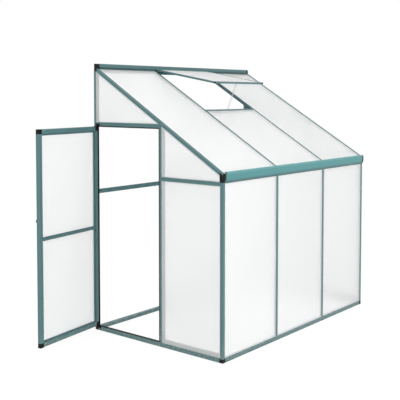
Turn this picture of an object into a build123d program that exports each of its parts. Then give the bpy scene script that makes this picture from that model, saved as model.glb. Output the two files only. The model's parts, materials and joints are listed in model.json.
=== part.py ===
"""Lean-to garden greenhouse: aluminium glazing frame, twin-wall sheets, hinged door and roof vent.

Millimetres. The origin is on the ground at the middle of the house wall line, X runs along
the wall, the front of the house faces -Y and Z is up. The door stands open and the roof vent
is propped, as in use.
"""
import os
from math import cos, hypot, radians, sin, tan

from build123d import *

# Overall size of the house
LENGTH = 1900.0  # over the outer faces of the two gables
DEPTH = 1200.0  # wall face to front face
EAVE_HEIGHT = 1241.0  # roof face above the front face
ROOF_PITCH = 31.0  # degrees
BAYS = 3  # sheets along the front

# Glazing sheets and the grooves that hold them
SHEET = 4.0
SHEET_CLEARANCE = 0.4  # each face of the sheet to the groove
EDGE_CLEARANCE = 1.0  # sheet edge to the floor of the groove
WALL = 1.5  # wall of every extrusion
LIP = 4.0  # short outer lip of the groove
CORNER_LIP = 8.0  # lip of a gable rafter or a front post
FLANGE = 34.0  # long inner flange in the gable
CORNER_FLANGE = 16.0  # inner flange of a gable rafter or a front post
ROOF_BAR_FLANGE = 12.0  # inner flange of a middle rafter
SHORT_FLANGE = 8.0  # inner flange of a rail in the gable and of the bars in the front

# Extrusions
EDGE_TUBE = 14.0  # face width of an edge bar without its lip
SILL_TUBE = 26.0
SILL_LINE_HEIGHT = 10.0  # ground to the middle of the groove in a base rail
FACE_LINE = 3.0  # shallow groove along the face of a rail
FACE_LINE_DEPTH = 0.7
RAIL_TUBE = 18.0  # stem of a rail in the gable
BAR_TUBE = 8.0  # stem of a glazing bar between two sheets
STUD_TUBE = 14.0  # stem of a stud in the front
FRAME_DEPTH = 28.0
BAR_DEPTH = 24.0
REAR_RAIL = 32.0
REAR_RAIL_HEIGHT = 1036.0  # centre of the rail across the open back

# Gable layout
JAMB = 657.0  # wall face to the middle of the door jamb
HEADER_DROP = 30.0  # roof face over the jamb down to the middle of the bar over the door
GABLE_RAIL_DROP = 10.0  # gutter base down to the middle of the rail beside the door bay

# Eave gutter and ridge
GUTTER_DROP = 57.0  # roof face at the front down to the gutter base
GUTTER_HEIGHT = 71.0
GUTTER_PROUD = 12.0  # in front of the front face
GUTTER_SLOPE = 20.0  # height of the front's lower part, which leans back
GUTTER_LEAN = 10.0  # how far that part leans back
GUTTER_BEAD = 5.0
GUTTER_CAP = 10.0
GUTTER_CAP_DROP = 11.0  # gutter top down to the top of its end cap
RIDGE_RISE = 18.0  # ridge top above the roof face at the wall
RIDGE_HEIGHT = 55.0
RIDGE_DEPTH = 30.0
RIDGE_LIP = 6.0
RIDGE_FLANGE = 50.0
RIDGE_CAP = 30.0
RIDGE_CAP_ROUND = 12.0  # upper front corner of the cap
RIDGE_CAP_EDGE = 2.5  # bevelled rim of the cap

# Base corners and their gussets
SPIGOT = 30.0
SPIGOT_CLEARANCE = 0.2
GUSSET = 62.0
GUSSET_PLATE = 2.5
GUSSET_HOLLOW = 0.42  # how far the curved edge bites towards the corner

# Fixing holes to the wall and to the ground
WALL_HOLE_RADIUS = 3.5
WALL_HOLE_INSET = 18.0  # from the gable face
WALL_HOLE_LOW = 300.0
WALL_HOLE_HIGH = 1500.0
GROUND_HOLE_RADIUS = 4.0
GROUND_HOLE_INSET = 18.0  # from the front face or the wall face
GROUND_HOLE_REACH = 700.0  # each side of the middle

# Door seal
SEAL_SHOW = 8.0  # beyond the lip of the groove
SEAL_BULB = 0.4  # face of the bulb below the gable face
SEAL_FIN = 20.0  # beyond the bulb on the hinge side
SEAL_FIN_WALL = 1.5

# Door
DOOR_HINGE_SHY = 8.0  # lip of the rear post to the hinge edge of the closed door
DOOR_LAP = 7.0  # free edge of the closed door over the cap of the jamb
DOOR_FOOT = 6.0  # lip of the base rail up to the door
DOOR_HEAD = 17.0  # middle of the bar over the door down to the door
DOOR_GAP = 1.0  # gable face to the closed door
DOOR_THICKNESS = 30.0
DOOR_TUBE = 32.0
DOOR_LIP = 11.0
DOOR_CHAMFER = 5.0
DOOR_MID_TUBE = 12.0
DOOR_MID_LIP = 7.0
DOOR_MID_HEIGHT = 774.0  # ground to the middle of the middle rail
DOOR_OPEN = 82.0  # degrees from closed

# Door pivots
PIVOT_INSET = 8.0  # hinge edge of the door to the pivot
PIVOT_OUT = 10.0  # outside the gable face
PIVOT_RADIUS = 4.0
PIVOT_CLEARANCE = 0.08
PIVOT_DEEP = 18.0  # pin inside the door corner
PIVOT_PLATE = 2.5
PIVOT_PLATE_REACH = 12.0  # plate beyond the pivot
PIVOT_LEAF = 36.0  # leaf along the frame
PIVOT_LEAF_HEIGHT = 16.0
PIVOT_GAP = 4.0  # pivot plate to the end of the door
WASHER_RADIUS = 8.0
WASHER_PLAY = 0.3

# Door knob
KNOB_RADIUS = 12.0
KNOB_NECK = 8.5
KNOB_FOOT = 11.0
KNOB_LENGTH = 8.0
KNOB_FOOT_HEIGHT = 1.5
KNOB_NECK_HEIGHT = 3.0
KNOB_BROAD = 4.5  # from the door to the broad part of the head
KNOB_BEVEL = 2.0
KNOB_RISE = 126.0  # middle rail up to the pull

# Roof vent
VENT_SILL = 626.0  # wall line to the sill bar, along the slope
VENT_LAP = 18.0  # sill bar on to the lower edge of the vent
VENT_DEPTH = 14.0
VENT_GAP = 1.0  # closed vent to the glazing bars
VENT_TUBE = 8.0
VENT_LIP = 6.0
VENT_FLANGE = 12.0
VENT_OPEN = 21.0  # degrees from closed
VENT_FURTHER = 4.0  # degrees that it still opens

# Rolled hinge of the vent: a bead on the vent turns in a socket along the ridge
BEAD_RADIUS = 4.0
BEAD_CLEARANCE = 0.1
SOCKET_WALL = 1.7
SOCKET_OUT = 8.0  # in front of the ridge face
SOCKET_RISE = 10.0  # above the roof face
SOCKET_UP = 35.0  # mouth of the socket, degrees above level
SOCKET_DOWN = 54.0  # and below level
NECK = 2.0
NECK_LENGTH = 9.0  # hinge line to the vent's top bar

# Stay of the vent: a slotted bar on the vent slides over a peg on the sill bar
STAY_INSET = 14.0  # sill bar back to the stay pivot on the closed vent, along the slope
STAY_DROP = 8.0  # pivot below the hinge line, square to the roof
STAY_PEG_LAG = 2.6  # degrees that the peg lies past the closed vent
STAY_WIDTH = 12.0
STAY_PLATE = 2.0
STAY_SLOT = 6.2
STAY_PIN_RADIUS = 2.5
STAY_PIN_HEAD = 4.5
STAY_PIN_HEAD_PLATE = 1.6
STAY_PEG_RADIUS = 2.6
STAY_PLAY = 0.4  # beside the stay
STAY_EAR = 5.0
STAY_BRACKET = 4.0
STAY_ARM_HIGH = 7.0  # upper and lower edge of the bracket arm above the roof face
STAY_ARM_LOW = 1.5
PEG_BRACKET_GAP = 2.0
PEG_BRACKET_UNDER = 5.0
NUT_RADIUS = 6.0
NUT_LENGTH = 8.0
NUT_WING = 13.0
NUT_WING_PLATE = 2.4

# Values that follow from the sizes above
SLOPE_COS = cos(radians(ROOF_PITCH))
SLOPE_SIN = sin(radians(ROOF_PITCH))
SLOPE_TAN = tan(radians(ROOF_PITCH))
HALF = LENGTH / 2
BAY = LENGTH / BAYS
GROOVE = SHEET + 2 * SHEET_CLEARANCE
SHEET_FACE = WALL + SHEET_CLEARANCE
FLANGE_TOP = WALL + GROOVE
FLANGE_BASE = FLANGE_TOP + WALL
EDGE_SEAT = EDGE_TUBE + EDGE_CLEARANCE
BAR_SEAT = BAR_TUBE / 2 + EDGE_CLEARANCE
STUD_SEAT = STUD_TUBE / 2 + EDGE_CLEARANCE
RAIL_SEAT = RAIL_TUBE / 2 + EDGE_CLEARANCE
SILL_SEAT = SILL_TUBE + EDGE_CLEARANCE
ROOF_TOP = EAVE_HEIGHT + DEPTH * SLOPE_TAN
ROOF_RUN = DEPTH / SLOPE_COS
RIDGE_TOP = ROOF_TOP + RIDGE_RISE
RIDGE_BASE = RIDGE_TOP - RIDGE_HEIGHT
GUTTER_BASE = EAVE_HEIGHT - GUTTER_DROP
GUTTER_TOP = GUTTER_BASE + GUTTER_HEIGHT
HEADER_HEIGHT = EAVE_HEIGHT + (DEPTH - JAMB) * SLOPE_TAN - HEADER_DROP
GABLE_RAIL_HEIGHT = GUTTER_BASE - GABLE_RAIL_DROP
DOOR_HINGE_EDGE = EDGE_TUBE + LIP + DOOR_HINGE_SHY
DOOR_FREE_EDGE = JAMB - BAR_TUBE / 2 - LIP + DOOR_LAP
DOOR_BOTTOM = SILL_TUBE + LIP + DOOR_FOOT
DOOR_TOP = HEADER_HEIGHT - DOOR_HEAD
DOOR_FACE = HALF + DOOR_GAP + DOOR_THICKNESS
PIVOT_X = -(HALF + PIVOT_OUT)
PIVOT_Y = -(DOOR_HINGE_EDGE + PIVOT_INSET)
VENT_FACE = VENT_GAP + VENT_DEPTH
VENT_END = VENT_SILL + VENT_LAP
STAY_SLOPE = VENT_SILL - STAY_INSET
OVERRUN = 100.0  # how far cutting solids reach past the work

LEFT = (-1, 0, 0)
RIGHT = (1, 0, 0)
FRONT = (0, -1, 0)
REAR = (0, 1, 0)
UP = (0, 0, 1)
DOWN = (0, 0, -1)
ROOF_OUT = (0, -SLOPE_SIN, SLOPE_COS)
DOWN_SLOPE = (0, -SLOPE_COS, -SLOPE_SIN)
UP_SLOPE = (0, SLOPE_COS, SLOPE_SIN)


def roof_height(y):
    """Height of the roof face over a line at y."""
    return ROOF_TOP + y * SLOPE_TAN


def roof_point(x, slope, depth):
    """Point on the roof: distance down the slope from the wall, and depth below the roof face."""
    y = -slope * SLOPE_COS + depth * SLOPE_SIN
    z = ROOF_TOP - slope * SLOPE_SIN - depth * SLOPE_COS
    return (x, y, z)


def under_roof(y, depth):
    """Height of a line that runs below the roof face by a depth square to it."""
    return roof_height(y) - depth / SLOPE_COS


def outline(*points):
    """Face inside a closed line of points."""
    return make_face(Polyline(*points, close=True))


def span_box(low, high):
    """Box between two corners."""
    sizes = [b - a for a, b in zip(low, high)]
    middle = [(a + b) / 2 for a, b in zip(low, high)]
    return Pos(*middle) * Box(*sizes)


def roof_box(x_span, slope_span, depth_span):
    """Box that lies along the roof slope."""
    frame = Plane(roof_point(0, 0, 0), x_dir=RIGHT, z_dir=ROOF_OUT)
    low = (x_span[0], -slope_span[1], -depth_span[1])
    high = (x_span[1], -slope_span[0], -depth_span[0])
    return frame * span_box(low, high)


def profile_along_x(face, x_low, x_high):
    """Extrusion along X of a face drawn in Y and Z."""
    return extrude(Plane((x_low, 0, 0), x_dir=REAR, z_dir=RIGHT) * face, amount=x_high - x_low)


def rod_along_x(radius, x_low, x_high, centre):
    """Round bar along X through a point."""
    middle = ((x_low + x_high) / 2, centre[1], centre[2])
    return Pos(*middle) * Rot(0, 90, 0) * Cylinder(radius, x_high - x_low)


def bar(section, start, end, into, outward):
    """Extrusion of a section from start to end.

    The section's first axis points into the glazing and its second axis points outdoors.
    """
    along = Vector(*into).cross(Vector(*outward))
    reach = (Vector(*end) - Vector(*start)).dot(along)
    face = Plane(start, x_dir=into, z_dir=along) * section
    return extrude(face, amount=reach, dir=along)


def coped(member, *neighbours):
    """Member cut to fit round the bars that it meets."""
    for neighbour in neighbours:
        member = member - neighbour
    return max(member.solids(), key=lambda solid: solid.volume)


def mirrored(solid):
    """The same piece at the other gable."""
    return mirror(solid, about=Plane.YZ)


def hollow_face(centre, width, height):
    """Bore of a tube with the given outside size."""
    return Pos(*centre) * Rectangle(width - 2 * WALL, height - 2 * WALL)


def edge_section(tube, depth, lip, flange):
    """Tube with one glazing groove: a short lip outdoors and a long flange indoors."""
    body = outline(
        (0, 0),
        (tube + lip, 0),
        (tube + lip, -WALL),
        (tube, -WALL),
        (tube, -FLANGE_TOP),
        (tube + flange, -FLANGE_TOP),
        (tube + flange, -FLANGE_BASE),
        (tube, -FLANGE_BASE),
        (tube, -depth),
        (0, -depth),
    )
    return body - hollow_face((tube / 2, -depth / 2), tube, depth)


def face_line(place):
    """Shallow groove along the face of a rail."""
    return Pos(place, -FACE_LINE_DEPTH / 2) * Rectangle(FACE_LINE, FACE_LINE_DEPTH)


def sill_section(flange):
    """Base rail: an edge bar with a shallow groove along its face."""
    return edge_section(SILL_TUBE, FRAME_DEPTH, LIP, flange) - face_line(SILL_LINE_HEIGHT)


def glazing_bar_section(tube, flange):
    """Slim tube with a groove on each side."""
    half = tube / 2
    body = Pos(0, -BAR_DEPTH / 2) * Rectangle(tube, BAR_DEPTH)
    cap = Pos(0, -WALL / 2) * Rectangle(2 * (half + LIP), WALL)
    inner = Pos(0, -(FLANGE_TOP + FLANGE_BASE) / 2) * Rectangle(2 * (half + flange), WALL)
    return body + cap + inner - hollow_face((0, -BAR_DEPTH / 2), tube, BAR_DEPTH)


def rail_section():
    """Rail in the gable: a broader glazing bar with a shallow groove along its face."""
    return glazing_bar_section(RAIL_TUBE, SHORT_FLANGE) - face_line(0)


def corner_section(flange):
    """Square tube with a groove in each of the two faces that meet at a corner."""
    lip = EDGE_TUBE + CORNER_LIP
    reach = EDGE_TUBE + flange
    body = outline(
        (0, 0),
        (lip, 0),
        (lip, -WALL),
        (EDGE_TUBE, -WALL),
        (EDGE_TUBE, -FLANGE_TOP),
        (reach, -FLANGE_TOP),
        (reach, -FLANGE_BASE),
        (FRAME_DEPTH, -FLANGE_BASE),
        (FRAME_DEPTH, -FRAME_DEPTH),
        (FLANGE_BASE, -FRAME_DEPTH),
        (FLANGE_BASE, -reach),
        (FLANGE_TOP, -reach),
        (FLANGE_TOP, -EDGE_TUBE),
        (WALL, -EDGE_TUBE),
        (WALL, -lip),
        (0, -lip),
    )
    inner = FRAME_DEPTH - FLANGE_BASE
    middle = (FRAME_DEPTH + FLANGE_BASE) / 2
    outer = FLANGE_BASE / 2
    return (
        body
        - hollow_face((middle, -middle), inner, inner)
        - hollow_face((outer, -outer), FLANGE_BASE, FLANGE_BASE)
    )


def door_section():
    """Chamfered door tube with its groove in the middle of the thickness."""
    upper = DOOR_THICKNESS / 2 - GROOVE / 2
    lower = DOOR_THICKNESS / 2 + GROOVE / 2
    reach = DOOR_TUBE + DOOR_LIP
    body = outline(
        (0, -DOOR_CHAMFER),
        (DOOR_CHAMFER, 0),
        (DOOR_TUBE, 0),
        (DOOR_TUBE, WALL - upper),
        (reach, WALL - upper),
        (reach, -upper),
        (DOOR_TUBE, -upper),
        (DOOR_TUBE, -lower),
        (reach, -lower),
        (reach, -lower - WALL),
        (DOOR_TUBE, -lower - WALL),
        (DOOR_TUBE, -DOOR_THICKNESS),
        (DOOR_CHAMFER, -DOOR_THICKNESS),
        (0, DOOR_CHAMFER - DOOR_THICKNESS),
    )
    return body - door_bore()


def door_bore(clearance=0.0):
    """Bore of the door tube, or the outline of what fits in it."""
    shrink = WALL + clearance
    cut = DOOR_CHAMFER
    return outline(
        (shrink, -cut - shrink / 2),
        (cut + shrink / 2, -shrink),
        (DOOR_TUBE - shrink, -shrink),
        (DOOR_TUBE - shrink, shrink - DOOR_THICKNESS),
        (cut + shrink / 2, shrink - DOOR_THICKNESS),
        (shrink, cut + shrink / 2 - DOOR_THICKNESS),
    )


def seal_section():
    """Rubber strip whose tongue fills a glazing groove and whose bulb stands beyond the lip."""
    tongue = LIP + EDGE_CLEARANCE
    back = SHEET_FACE + SHEET
    return outline(
        (EDGE_CLEARANCE, -SHEET_FACE),
        (tongue, -SHEET_FACE),
        (tongue, -SEAL_BULB),
        (LIP + SEAL_SHOW, -SEAL_BULB),
        (LIP + SEAL_SHOW, -back),
        (EDGE_CLEARANCE, -back),
    )


def seal_fin():
    """Fin of the strip on the hinge side, which closes the gap beside the open door."""
    back = SHEET_FACE + SHEET
    middle = (LIP + SEAL_SHOW + SEAL_FIN / 2, SEAL_FIN_WALL / 2 - back)
    return Pos(*middle) * Rectangle(SEAL_FIN, SEAL_FIN_WALL)


def gusset_face(near, far, under):
    """Corner plate with a hollow curved edge.

    It lies along two bars: from near to far along the first and from under to far along the second.
    """
    bite = under + (far - under) * GUSSET_HOLLOW
    edge = ThreePointArc((far, near), (bite, bite), (near, far))
    sides = Polyline((near, far), (under, far), (under, under), (far, under), (far, near))
    return make_face([edge, sides])


# Roof bars
def gutter_notch():
    """Space over the gutter where a roof bar keeps only its cap and flange."""
    back = -(DEPTH - FRAME_DEPTH)
    ahead = -(DEPTH + OVERRUN)
    low = GUTTER_BASE - OVERRUN
    face = outline(
        (back, under_roof(back, FLANGE_BASE)),
        (back, low),
        (ahead, low),
        (ahead, under_roof(ahead, FLANGE_BASE)),
    )
    return profile_along_x(face, -LENGTH, LENGTH)


def roof_bar(section, x):
    """Bar from the wall to the eave, notched over the gutter."""
    start = roof_point(x, -OVERRUN, 0)
    end = roof_point(x, ROOF_RUN + OVERRUN, 0)
    whole = bar(section, start, end, RIGHT, ROOF_OUT)
    ahead = span_box((-LENGTH, -2 * DEPTH, 0), (LENGTH, -DEPTH, 2 * ROOF_TOP))
    return whole - ahead - gutter_notch()


def make_gable_rafter():
    """Left gable rafter, cut round the ridge and against the rear post."""
    ridge = span_box((-LENGTH, -RIDGE_DEPTH, RIDGE_BASE), (LENGTH, DEPTH, 2 * ROOF_TOP))
    post = span_box((-LENGTH, -EDGE_TUBE, 0), (LENGTH, DEPTH, 2 * ROOF_TOP))
    return coped(roof_bar(corner_section(CORNER_FLANGE), -HALF), ridge, post)


def make_glazing_rafter(x):
    """Middle rafter, cut square against the ridge."""
    ridge = span_box((-LENGTH, -RIDGE_DEPTH, 0), (LENGTH, DEPTH, 2 * ROOF_TOP))
    return coped(roof_bar(glazing_bar_section(BAR_TUBE, ROOF_BAR_FLANGE), x), ridge)


# Uprights
def door_bay():
    """Clear space of the doorway, to which the long flanges round it are trimmed."""
    reach = LIP + SEAL_SHOW
    rear = -(EDGE_TUBE + reach)
    front = -(JAMB - BAR_TUBE / 2 - reach)
    low = SILL_TUBE + reach
    high = HEADER_HEIGHT - RAIL_TUBE / 2 - reach
    return span_box((-HALF, front, low), (-HALF + FRAME_DEPTH, rear, high))


def make_rear_post(rafter):
    """Left rear post, with two holes for the wall screws."""
    section = edge_section(EDGE_TUBE, FRAME_DEPTH, LIP, FLANGE)
    post = bar(section, (-HALF, 0, SILL_TUBE), (-HALF, 0, RIDGE_BASE), FRONT, LEFT)
    for height in (WALL_HOLE_LOW, WALL_HOLE_HIGH):
        hole = Pos(-HALF + WALL_HOLE_INSET, 0, height) * Rot(90, 0, 0)
        post = post - hole * Cylinder(WALL_HOLE_RADIUS, 3 * EDGE_TUBE)
    return coped(post, rafter, door_bay())


def make_front_post():
    """Left front corner post."""
    start = (-HALF, -DEPTH, SILL_TUBE)
    end = (-HALF, -DEPTH, GUTTER_BASE)
    return bar(corner_section(CORNER_FLANGE), start, end, RIGHT, FRONT)


def make_jamb(rafter):
    """Upright in the left gable between the door bay and the fixed glazing."""
    start = (-HALF, -JAMB, SILL_TUBE)
    end = (-HALF, -JAMB, roof_height(-JAMB))
    jamb = bar(glazing_bar_section(BAR_TUBE, FLANGE), start, end, FRONT, LEFT)
    return coped(jamb, rafter, door_bay())


def make_stud(x):
    """Glazing bar in the front."""
    start = (x, -DEPTH, SILL_TUBE)
    end = (x, -DEPTH, GUTTER_BASE)
    return bar(glazing_bar_section(STUD_TUBE, SHORT_FLANGE), start, end, RIGHT, FRONT)


# Gable rails
def make_header(rear_post, jamb, rafter):
    """Bar over the door."""
    start = (-HALF, -EDGE_TUBE, HEADER_HEIGHT)
    end = (-HALF, -(JAMB - BAR_TUBE / 2), HEADER_HEIGHT)
    return coped(bar(rail_section(), start, end, UP, LEFT), rear_post, jamb, rafter)


def make_gable_rail(jamb, front_post, cap, rafter):
    """Rail beside the door bay, at eave height."""
    start = (-HALF, -(JAMB + BAR_TUBE / 2), GABLE_RAIL_HEIGHT)
    end = (-HALF, -(DEPTH - EDGE_TUBE), GABLE_RAIL_HEIGHT)
    rail = bar(rail_section(), start, end, UP, LEFT)
    return coped(rail, jamb, front_post, cap, rafter)


# Base
def make_side_sill(*uprights):
    """Left base rail."""
    start = (-HALF, -FRAME_DEPTH, 0)
    end = (-HALF, -(DEPTH - FRAME_DEPTH), 0)
    return coped(bar(sill_section(FLANGE), start, end, UP, LEFT), *uprights, door_bay())


def ground_holes(y):
    """Drill for the two ground fixings of a base rail."""
    drill = Cylinder(GROUND_HOLE_RADIUS, 3 * SILL_TUBE)
    return [Pos(x, y, 0) * drill for x in (-GROUND_HOLE_REACH, GROUND_HOLE_REACH)]


def make_front_sill(*uprights):
    """Front base rail."""
    start = (-(HALF - FRAME_DEPTH), -DEPTH, 0)
    end = (HALF - FRAME_DEPTH, -DEPTH, 0)
    holes = ground_holes(-(DEPTH - GROUND_HOLE_INSET))
    return coped(bar(sill_section(SHORT_FLANGE), start, end, UP, FRONT), *uprights, *holes)


def make_rear_sill():
    """Base rail along the wall, a plain tube."""
    face = Pos(-FRAME_DEPTH / 2, SILL_TUBE / 2) * Rectangle(FRAME_DEPTH, SILL_TUBE)
    face = face - hollow_face((-FRAME_DEPTH / 2, SILL_TUBE / 2), FRAME_DEPTH, SILL_TUBE)
    tube = profile_along_x(face, -(HALF - FRAME_DEPTH), HALF - FRAME_DEPTH)
    return coped(tube, *ground_holes(-GROUND_HOLE_INSET))


def make_rear_rail():
    """Rail across the open back, between the rear posts."""
    face = Pos(-EDGE_TUBE / 2, REAR_RAIL_HEIGHT) * Rectangle(EDGE_TUBE, REAR_RAIL)
    face = face - hollow_face((-EDGE_TUBE / 2, REAR_RAIL_HEIGHT), EDGE_TUBE, REAR_RAIL)
    return profile_along_x(face, -(HALF - FRAME_DEPTH), HALF - FRAME_DEPTH)


def make_base_corner(y_low, inward, post_lip):
    """Left base corner: a block between two base rails, with a spigot in each."""
    block = span_box((-HALF, y_low, 0), (-HALF + FRAME_DEPTH, y_low + FRAME_DEPTH, SILL_TUBE))
    middle = FRAME_DEPTH / 2
    plug = 2 * (WALL + SPIGOT_CLEARANCE)
    wide = FRAME_DEPTH - plug
    tall = SILL_TUBE - plug
    x_middle = -HALF + middle
    y_middle = y_low + middle
    reach = middle + SPIGOT / 2
    along_x = Pos(x_middle + reach, y_middle, SILL_TUBE / 2) * Box(SPIGOT, wide, tall)
    along_y = Pos(x_middle, y_middle + inward * reach, SILL_TUBE / 2) * Box(wide, SPIGOT, tall)
    upstand = FRAME_DEPTH - EDGE_TUBE - post_lip
    outer = y_middle + inward * (middle - upstand / 2)
    lip = Pos(-HALF + WALL / 2, outer, SILL_TUBE + LIP / 2) * Box(WALL, upstand, LIP)
    corner = block + along_x + along_y + lip
    if inward > 0:
        face = -HALF + FRAME_DEPTH - upstand / 2
        corner = corner + Pos(face, y_low + WALL / 2, SILL_TUBE + LIP / 2) * Box(upstand, WALL, LIP)
    return corner


def make_base_gusset():
    """Plate indoors at the foot of the left front post, on the post and the side rail."""
    near = FRAME_DEPTH
    under = FLANGE_BASE
    plate = Plane((-HALF + FRAME_DEPTH, -DEPTH, 0), x_dir=REAR, z_dir=RIGHT)
    face = gusset_face(near, near + GUSSET, under)
    block = Rectangle(2 * near, 2 * SILL_TUBE)
    return extrude(plate * (face - block), amount=GUSSET_PLATE)


# Gutter and ridge
def gutter_front(top):
    """Outline of the gutter's front, from its top bead down the leaning part to its base."""
    face = -(DEPTH + GUTTER_PROUD)
    return [
        (face, top),
        (face, GUTTER_BASE + GUTTER_SLOPE),
        (face + GUTTER_LEAN, GUTTER_BASE),
    ]


def gutter_profiles():
    """Sections of the gutter: its front board, its floor over the front sheets and its back board."""
    front = -(DEPTH + GUTTER_PROUD)
    back = -(DEPTH - FRAME_DEPTH)
    inner = back - WALL
    slant = GUTTER_LEAN + WALL / 2
    foot = GUTTER_BASE + WALL
    board = outline(
        *gutter_front(GUTTER_TOP),
        (front + slant, GUTTER_BASE),
        (front + slant, foot),
        (front + WALL, GUTTER_BASE + GUTTER_SLOPE + WALL / 4),
        (front + WALL, GUTTER_TOP - WALL),
        (front + GUTTER_BEAD, GUTTER_TOP - WALL),
        (front + GUTTER_BEAD, GUTTER_TOP),
    )
    floor = outline(
        (front + slant, foot),
        (front + slant, GUTTER_BASE),
        (-DEPTH, GUTTER_BASE),
        (-DEPTH, GUTTER_BASE - LIP),
        (-DEPTH + WALL, GUTTER_BASE - LIP),
        (-DEPTH + WALL, GUTTER_BASE),
        (-DEPTH + FLANGE_TOP, GUTTER_BASE),
        (-DEPTH + FLANGE_TOP, GUTTER_BASE - SHORT_FLANGE),
        (-DEPTH + FLANGE_BASE, GUTTER_BASE - SHORT_FLANGE),
        (-DEPTH + FLANGE_BASE, GUTTER_BASE),
        (back, GUTTER_BASE),
        (back, foot),
    )
    upstand = outline(
        (back, foot),
        (back, under_roof(back, FLANGE_BASE)),
        (inner, under_roof(inner, FLANGE_BASE)),
        (inner, foot),
    )
    return board, floor, upstand


def make_gutter(*uprights):
    """Eave gutter: an open channel over the groove for the front sheets."""
    reach = HALF - GUTTER_CAP
    boards = [coped(profile_along_x(face, -reach, reach), *uprights) for face in gutter_profiles()]
    return Compound(children=boards)


def make_gutter_cap():
    """Plate that closes the left end of the gutter and follows its outline."""
    back = -(DEPTH - FRAME_DEPTH)
    top = GUTTER_TOP - GUTTER_CAP_DROP
    face = outline(
        *gutter_front(top),
        (back, GUTTER_BASE),
        (back, under_roof(back, FLANGE_BASE)),
        (-DEPTH, under_roof(-DEPTH, FLANGE_BASE)),
        (-DEPTH - GUTTER_BEAD, top),
    )
    return profile_along_x(face, -HALF, -(HALF - GUTTER_CAP))


def hinge_line():
    """Y and Z of the line that the roof vent turns about."""
    y = -(RIDGE_DEPTH + SOCKET_OUT)
    return y, roof_height(y) + SOCKET_RISE / SLOPE_COS


def roof_strip(slope_span, depth_span):
    """Slim section along the slope, drawn in Y and Z."""
    corners = [(slope_span[0], depth_span[0]), (slope_span[1], depth_span[0])]
    corners += [(slope_span[1], depth_span[1]), (slope_span[0], depth_span[1])]
    return outline(*[roof_point(0, slope, depth)[1:] for slope, depth in corners])


def socket_section():
    """Open ring along the ridge that holds the bead of the vent."""
    y, z = hinge_line()
    bore = BEAD_RADIUS + BEAD_CLEARANCE
    reach = 3 * (bore + SOCKET_WALL)
    mouth = [(y, z)]
    for angle in (SOCKET_UP, (SOCKET_UP - SOCKET_DOWN) / 2, -SOCKET_DOWN):
        turn = radians(angle)
        mouth.append((y - reach * cos(turn), z + reach * sin(turn)))
    web = Pos(y + SOCKET_OUT / 2 + bore / 2, z) * Rectangle(SOCKET_OUT - bore, 2 * SOCKET_WALL)
    ring = Pos(y, z) * Circle(bore + SOCKET_WALL)
    return ring + web - Pos(y, z) * Circle(bore) - outline(*mouth)


def make_ridge(*rafters):
    """Ridge beam: a tube on the wall with a lip, a flange and the socket of the vent hinge."""
    middle = (-RIDGE_DEPTH / 2, (RIDGE_BASE + RIDGE_TOP) / 2)
    top = RIDGE_DEPTH / SLOPE_COS
    body = Pos(*middle) * Rectangle(RIDGE_DEPTH, RIDGE_HEIGHT)
    body = body + roof_strip((top - EDGE_TUBE / 2, top + RIDGE_LIP), (0, WALL))
    body = body + roof_strip((top - EDGE_TUBE / 2, top + RIDGE_FLANGE), (FLANGE_TOP, FLANGE_BASE))
    body = body - hollow_face(middle, RIDGE_DEPTH, RIDGE_HEIGHT)
    body = body + socket_section()
    return coped(profile_along_x(body, -(HALF - RIDGE_CAP), HALF - RIDGE_CAP), *rafters)


def make_ridge_cap():
    """Rounded plate on the left end of the ridge."""
    face = Pos(-RIDGE_DEPTH / 2, (RIDGE_BASE + RIDGE_TOP) / 2) * Rectangle(RIDGE_DEPTH, RIDGE_HEIGHT)
    upper = face.vertices().sort_by(Axis.Y)[-2:]
    face = fillet(upper.sort_by(Axis.X)[0], RIDGE_CAP_ROUND)
    cap = profile_along_x(face, -HALF, -(HALF - RIDGE_CAP))
    return chamfer(cap.faces().sort_by(Axis.X)[0].edges(), RIDGE_CAP_EDGE)


# Fixed glazing
def make_front_sheet(x_low, x_high):
    """Sheet in the front."""
    y = -DEPTH + SHEET_FACE
    return span_box((x_low, y, SILL_SEAT), (x_high, y + SHEET, GUTTER_BASE - EDGE_CLEARANCE))


def gable_sheet(*points):
    """Sheet in the left gable from its corners in Y and Z."""
    x = -HALF + SHEET_FACE
    return profile_along_x(outline(*points), x, x + SHEET)


def make_gable_top_sheet():
    """Sheet over the door bay, under the rafter and the ridge."""
    low = HEADER_HEIGHT + RAIL_SEAT
    high = RIDGE_BASE - EDGE_CLEARANCE
    front = -(JAMB - BAR_SEAT)
    turn = (high + EDGE_SEAT / SLOPE_COS - ROOF_TOP) / SLOPE_TAN
    return gable_sheet(
        (-EDGE_SEAT, low),
        (-EDGE_SEAT, high),
        (turn, high),
        (front, under_roof(front, EDGE_SEAT)),
        (front, low),
    )


def make_gable_eave_sheet():
    """Sheet between the gable rail and the rafter, beside the gutter."""
    low = GABLE_RAIL_HEIGHT + RAIL_SEAT
    rear = -(JAMB + BAR_SEAT)
    front = -(DEPTH - FRAME_DEPTH - EDGE_CLEARANCE)
    return gable_sheet(
        (rear, low),
        (rear, under_roof(rear, EDGE_SEAT)),
        (front, under_roof(front, EDGE_SEAT)),
        (front, low),
    )


def upright_sheet(rear, front, low, high):
    """Rectangular sheet in the left gable."""
    return gable_sheet((rear, low), (rear, high), (front, high), (front, low))


def make_gable_low_sheet():
    """Sheet between the base rail and the gable rail."""
    high = GABLE_RAIL_HEIGHT - RAIL_SEAT
    return upright_sheet(-(JAMB + BAR_SEAT), -(DEPTH - EDGE_SEAT), SILL_SEAT, high)


def make_gable_bay_sheet():
    """Sheet that closes the bay of the right gable where the left gable has its door."""
    return upright_sheet(-EDGE_SEAT, -(JAMB - BAR_SEAT), SILL_SEAT, HEADER_HEIGHT - RAIL_SEAT)


def make_roof_sheet(x_low, x_high, slope_low):
    """Roof sheet that drains into the gutter."""
    return roof_box((x_low, x_high), (slope_low, ROOF_RUN), (SHEET_FACE, SHEET_FACE + SHEET))


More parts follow.
